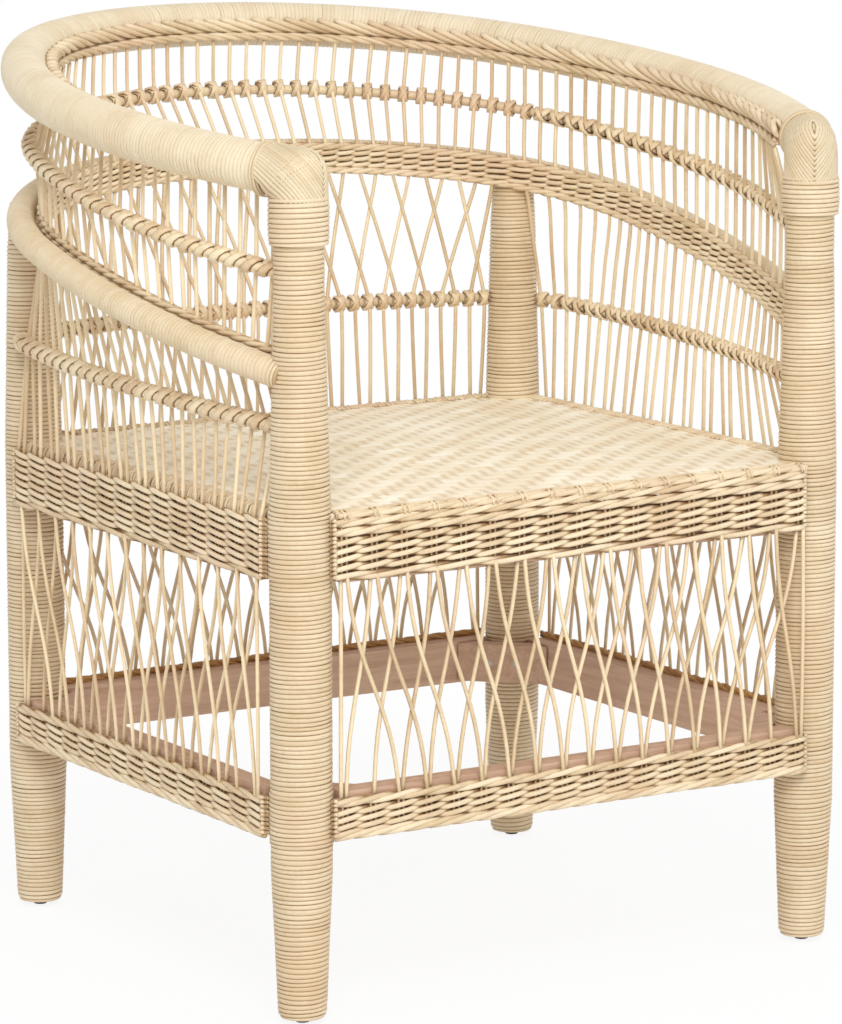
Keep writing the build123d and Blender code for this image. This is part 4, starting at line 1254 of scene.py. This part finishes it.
bindingValues = {
    "step": 4.4, "radius": 1.35, "slant": 5.0, "trim": 26,
    "section": [(15.0, 411.5), (19.6, 416), (20.4, 423), (18.0, 427.6), (12.0, 429.6), (4.0, 428.2)],
}
for side in ("left", "right", "back"):
    length, lay = sides[side][3], sides[side][5]
    half = length / 2 - bindingValues["trim"]
    last = len(bindingValues["section"]) - 1
    runs = []
    for run in evenly(-half, half, int(2 * half / bindingValues["step"])):
        shift, inward = random.uniform(-0.7, 0.7), random.uniform(-1.2, 3.0)
        points = [onSide(side, run + shift + lay * bindingValues["slant"] * (index / last - 0.5),
                         out - inward * index / last, height + random.uniform(-0.2, 0.2))
                  for index, (out, height) in enumerate(bindingValues["section"])]
        runs.append(points)
    strands(f"{side}SeatBinding", runs, bindingValues["radius"], "wicker",
            [f"{side}_seat_binding"])

rollValues = {
    "roll": {**ropeOf, "lay": 74.0, "lift": 1.3, "depth": 2.2, "inset": 0.4, "height": 426.6},
    "border": {**ropeOf, "strands": 2, "lay": 48.0, "lift": 0.9, "depth": 1.3, "inset": 5.6, "height": 428.6},
    "radius": 2.3, "borderRadius": 1.7, "overlap": 1.5,
    # a stitch over the border: along, out from the roll's middle and up
    "stitch": ((0, -4.6, 4.2), (0.25, -1.8, 4.6), (0.5, 1.4, 3.2), (0.75, 2.6, 0.4), (1.0, 2.0, -2.2)),
    "stitchRadius": 0.9, "stitchGap": 2.2, "stitchOut": 1.6, "stitchHeight": 425.8,
}


def frontRope(name, seed):
    v = rollValues[name]
    reach = frontLength / 2 - chair["panelEnd"]
    return waled(lambda run, out, up: onSide("front", run, chair["panelMiddle"] - v["inset"] + out,
                                             v["height"] + up),
                 (-reach, reach - bandValues["apronTrim"] + rollValues["overlap"]), v, 1, seed)


stitches = []
for column in pairColumns("front")[0]:
    for shift in (-rollValues["stitchGap"], rollValues["stitchGap"]):
        stitches.append([onSide("front", column + shift + along,
                                chair["panelMiddle"] + rollValues["stitchOut"] + out,
                                rollValues["stitchHeight"] + rise)
                         for along, out, rise in rollValues["stitch"]])
mesh = joined([strandMesh(frontRope("roll", 400), rollValues["radius"]),
               strandMesh(frontRope("border", 410), rollValues["borderRadius"]),
               strandMesh(stitches, rollValues["stitchRadius"])])
settle("seatFrontRoll", mesh, "wicker", ["seat_front_roll"])
print("seat woven")


# Glides, boards, screws and poles

glideValues = {"radius": 6.5, "height": 5.0, "rounding": 1.6, "sides": 32}
glides = bmesh.new()
for side, y, _ in legs.values():
    made = bmesh.ops.create_cone(
        glides, cap_ends=True, segments=glideValues["sides"], radius1=glideValues["radius"] * mm,
        radius2=glideValues["radius"] * mm, depth=glideValues["height"] * mm,
        matrix=Matrix.Translation((side * chair["halfWidth"] * mm, y * mm, glideValues["height"] / 2 * mm)))
rims = [e for e in glides.edges if all(v.co.z < 1e-5 for v in e.verts)]
bmesh.ops.bevel(glides, geom=rims, offset=glideValues["rounding"] * mm, segments=3, profile=0.5, affect="EDGES",
                material=-1)
glideMesh = bpy.data.meshes.new("glides")
glides.to_mesh(glideMesh)
glides.free()
settle("legGlides", glideMesh, "glide", ["leg_glides"])


def paint(names, finish):
    for name in names:
        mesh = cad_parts[name].data
        mesh.materials.clear()
        mesh.materials.append(finishes[finish])


for side in sides:
    grain = "boardX" if side in ("front", "back") else "boardY"
    paint([f"{side}_seat_rail", f"{side}_stretcher"], grain)
paint([f"{leg}_corner_brace" for leg in legs] + ["seat_slats"], "boardX")
paint([f"{leg}_leg_pole" for leg in legs] + ["top_rail_pole", "arm_rail_pole", "elbow_dowels"], "pole")
paint(["brace_screws", "slat_screws"], "screw")
print("boards finished")


# Floor, light and camera

stageValues = {
    "floorTint": (250, 250, 248), "floorSize": 6.0, "worldLight": 0.7,
    "floorGlow": 0.9, "fadeStart": 0.55, "fadeEnd": 1.1,   # how white the floor looks, and where it goes white
}


def seenDirectly(tree):
    # 1 where a ray looks straight at the surface, in a mirror or through glass, and 0 where it only lights
    light = node(tree, "ShaderNodeLightPath")
    return maths(tree, "MAXIMUM", light.outputs["Is Camera Ray"],
                 maths(tree, "MAXIMUM", light.outputs["Is Glossy Ray"], light.outputs["Is Transmission Ray"]))


floorWork = bmesh.new()
bmesh.ops.create_grid(floorWork, x_segments=1, y_segments=1, size=stageValues["floorSize"])
floorMesh = bpy.data.meshes.new("floor")
floorWork.to_mesh(floorMesh)
floorWork.free()
floor = bpy.data.objects.new("floor", floorMesh)
scene.collection.objects.link(floor)
floorPaint = bpy.data.materials.new("paleFloor")
floorPaint.use_nodes = True
tree = floorPaint.node_tree
tree.nodes["Principled BSDF"].inputs["Base Color"].default_value = tint(*stageValues["floorTint"])
tree.nodes["Principled BSDF"].inputs["Roughness"].default_value = 0.9
glow = node(tree, "ShaderNodeEmission")
glow.inputs["Strength"].default_value = 1.0
blend = node(tree, "ShaderNodeMixShader")
fade = node(tree, "ShaderNodeMapRange", interpolation_type="SMOOTHSTEP")
fade.inputs["From Min"].default_value = stageValues["fadeStart"]
fade.inputs["From Max"].default_value = stageValues["fadeEnd"]
fade.inputs["To Min"].default_value = stageValues["floorGlow"]
away = node(tree, "ShaderNodeVectorMath", operation="LENGTH")
wire(tree, node(tree, "ShaderNodeTexCoord").outputs["Object"], away.inputs[0])
wire(tree, away.outputs["Value"], fade.inputs["Value"])
wire(tree, maths(tree, "MULTIPLY", seenDirectly(tree), fade.outputs[0]), blend.inputs[0])
wire(tree, tree.nodes["Principled BSDF"].outputs[0], blend.inputs[1])
wire(tree, glow.outputs[0], blend.inputs[2])
wire(tree, blend.outputs[0], tree.nodes["Material Output"].inputs["Surface"])
floorMesh.materials.append(floorPaint)

world = bpy.data.worlds.new("studio")
world.use_nodes = True
scene.world = world
tree = world.node_tree
sky = tree.nodes["Background"]
sky.inputs["Color"].default_value = (1.0, 1.0, 1.0, 1.0)
sky.inputs["Strength"].default_value = stageValues["worldLight"]
backdrop = node(tree, "ShaderNodeBackground")
backdrop.inputs["Color"].default_value = (1.0, 1.0, 1.0, 1.0)
blend = node(tree, "ShaderNodeMixShader")
wire(tree, seenDirectly(tree), blend.inputs[0])
wire(tree, sky.outputs[0], blend.inputs[1])
wire(tree, backdrop.outputs[0], blend.inputs[2])
wire(tree, blend.outputs[0], tree.nodes["World Output"].inputs["Surface"])

lamps = {  # place, target, size, watts
    "key": ((-1.5, -2.8, 2.7), (0.0, -0.1, 0.45), 1.7, 80.0),
    "fill": ((2.6, -1.8, 1.6), (0.0, -0.1, 0.45), 2.2, 12.0),
}
for name, (spot, target, size, watts) in lamps.items():
    lamp = bpy.data.lights.new(name, "AREA")
    lamp.size = size
    lamp.energy = watts
    holder = bpy.data.objects.new(name, lamp)
    holder.location = spot
    holder.rotation_euler = (Vector(spot) - Vector(target)).to_track_quat("Z", "Y").to_euler()
    scene.collection.objects.link(holder)

cameraValues = {
    "place": (-2.1965, -3.6086, 1.0721), "turn": -31.95, "tilt": 9.56, "roll": -0.05, "lens": 167.55,
}
turn, tilt = math.radians(cameraValues["turn"]), math.radians(cameraValues["tilt"])
right = Vector((math.cos(turn), math.sin(turn), 0))
back = Vector((math.sin(turn) * math.cos(tilt), -math.cos(turn) * math.cos(tilt), math.sin(tilt)))
aim = Matrix((right, back.cross(right), back)).transposed()
aim = aim @ Matrix.Rotation(math.radians(cameraValues["roll"]), 3, "Z")
cameraData = bpy.data.cameras.new("camera")
cameraData.sensor_width = 36.0
cameraData.lens = cameraValues["lens"]
cameraData.clip_end = 50.0
camera = bpy.data.objects.new("camera", cameraData)
camera.matrix_world = Matrix.Translation(cameraValues["place"]) @ aim.to_4x4()
scene.collection.objects.link(camera)
scene.camera = camera
print("stage set")
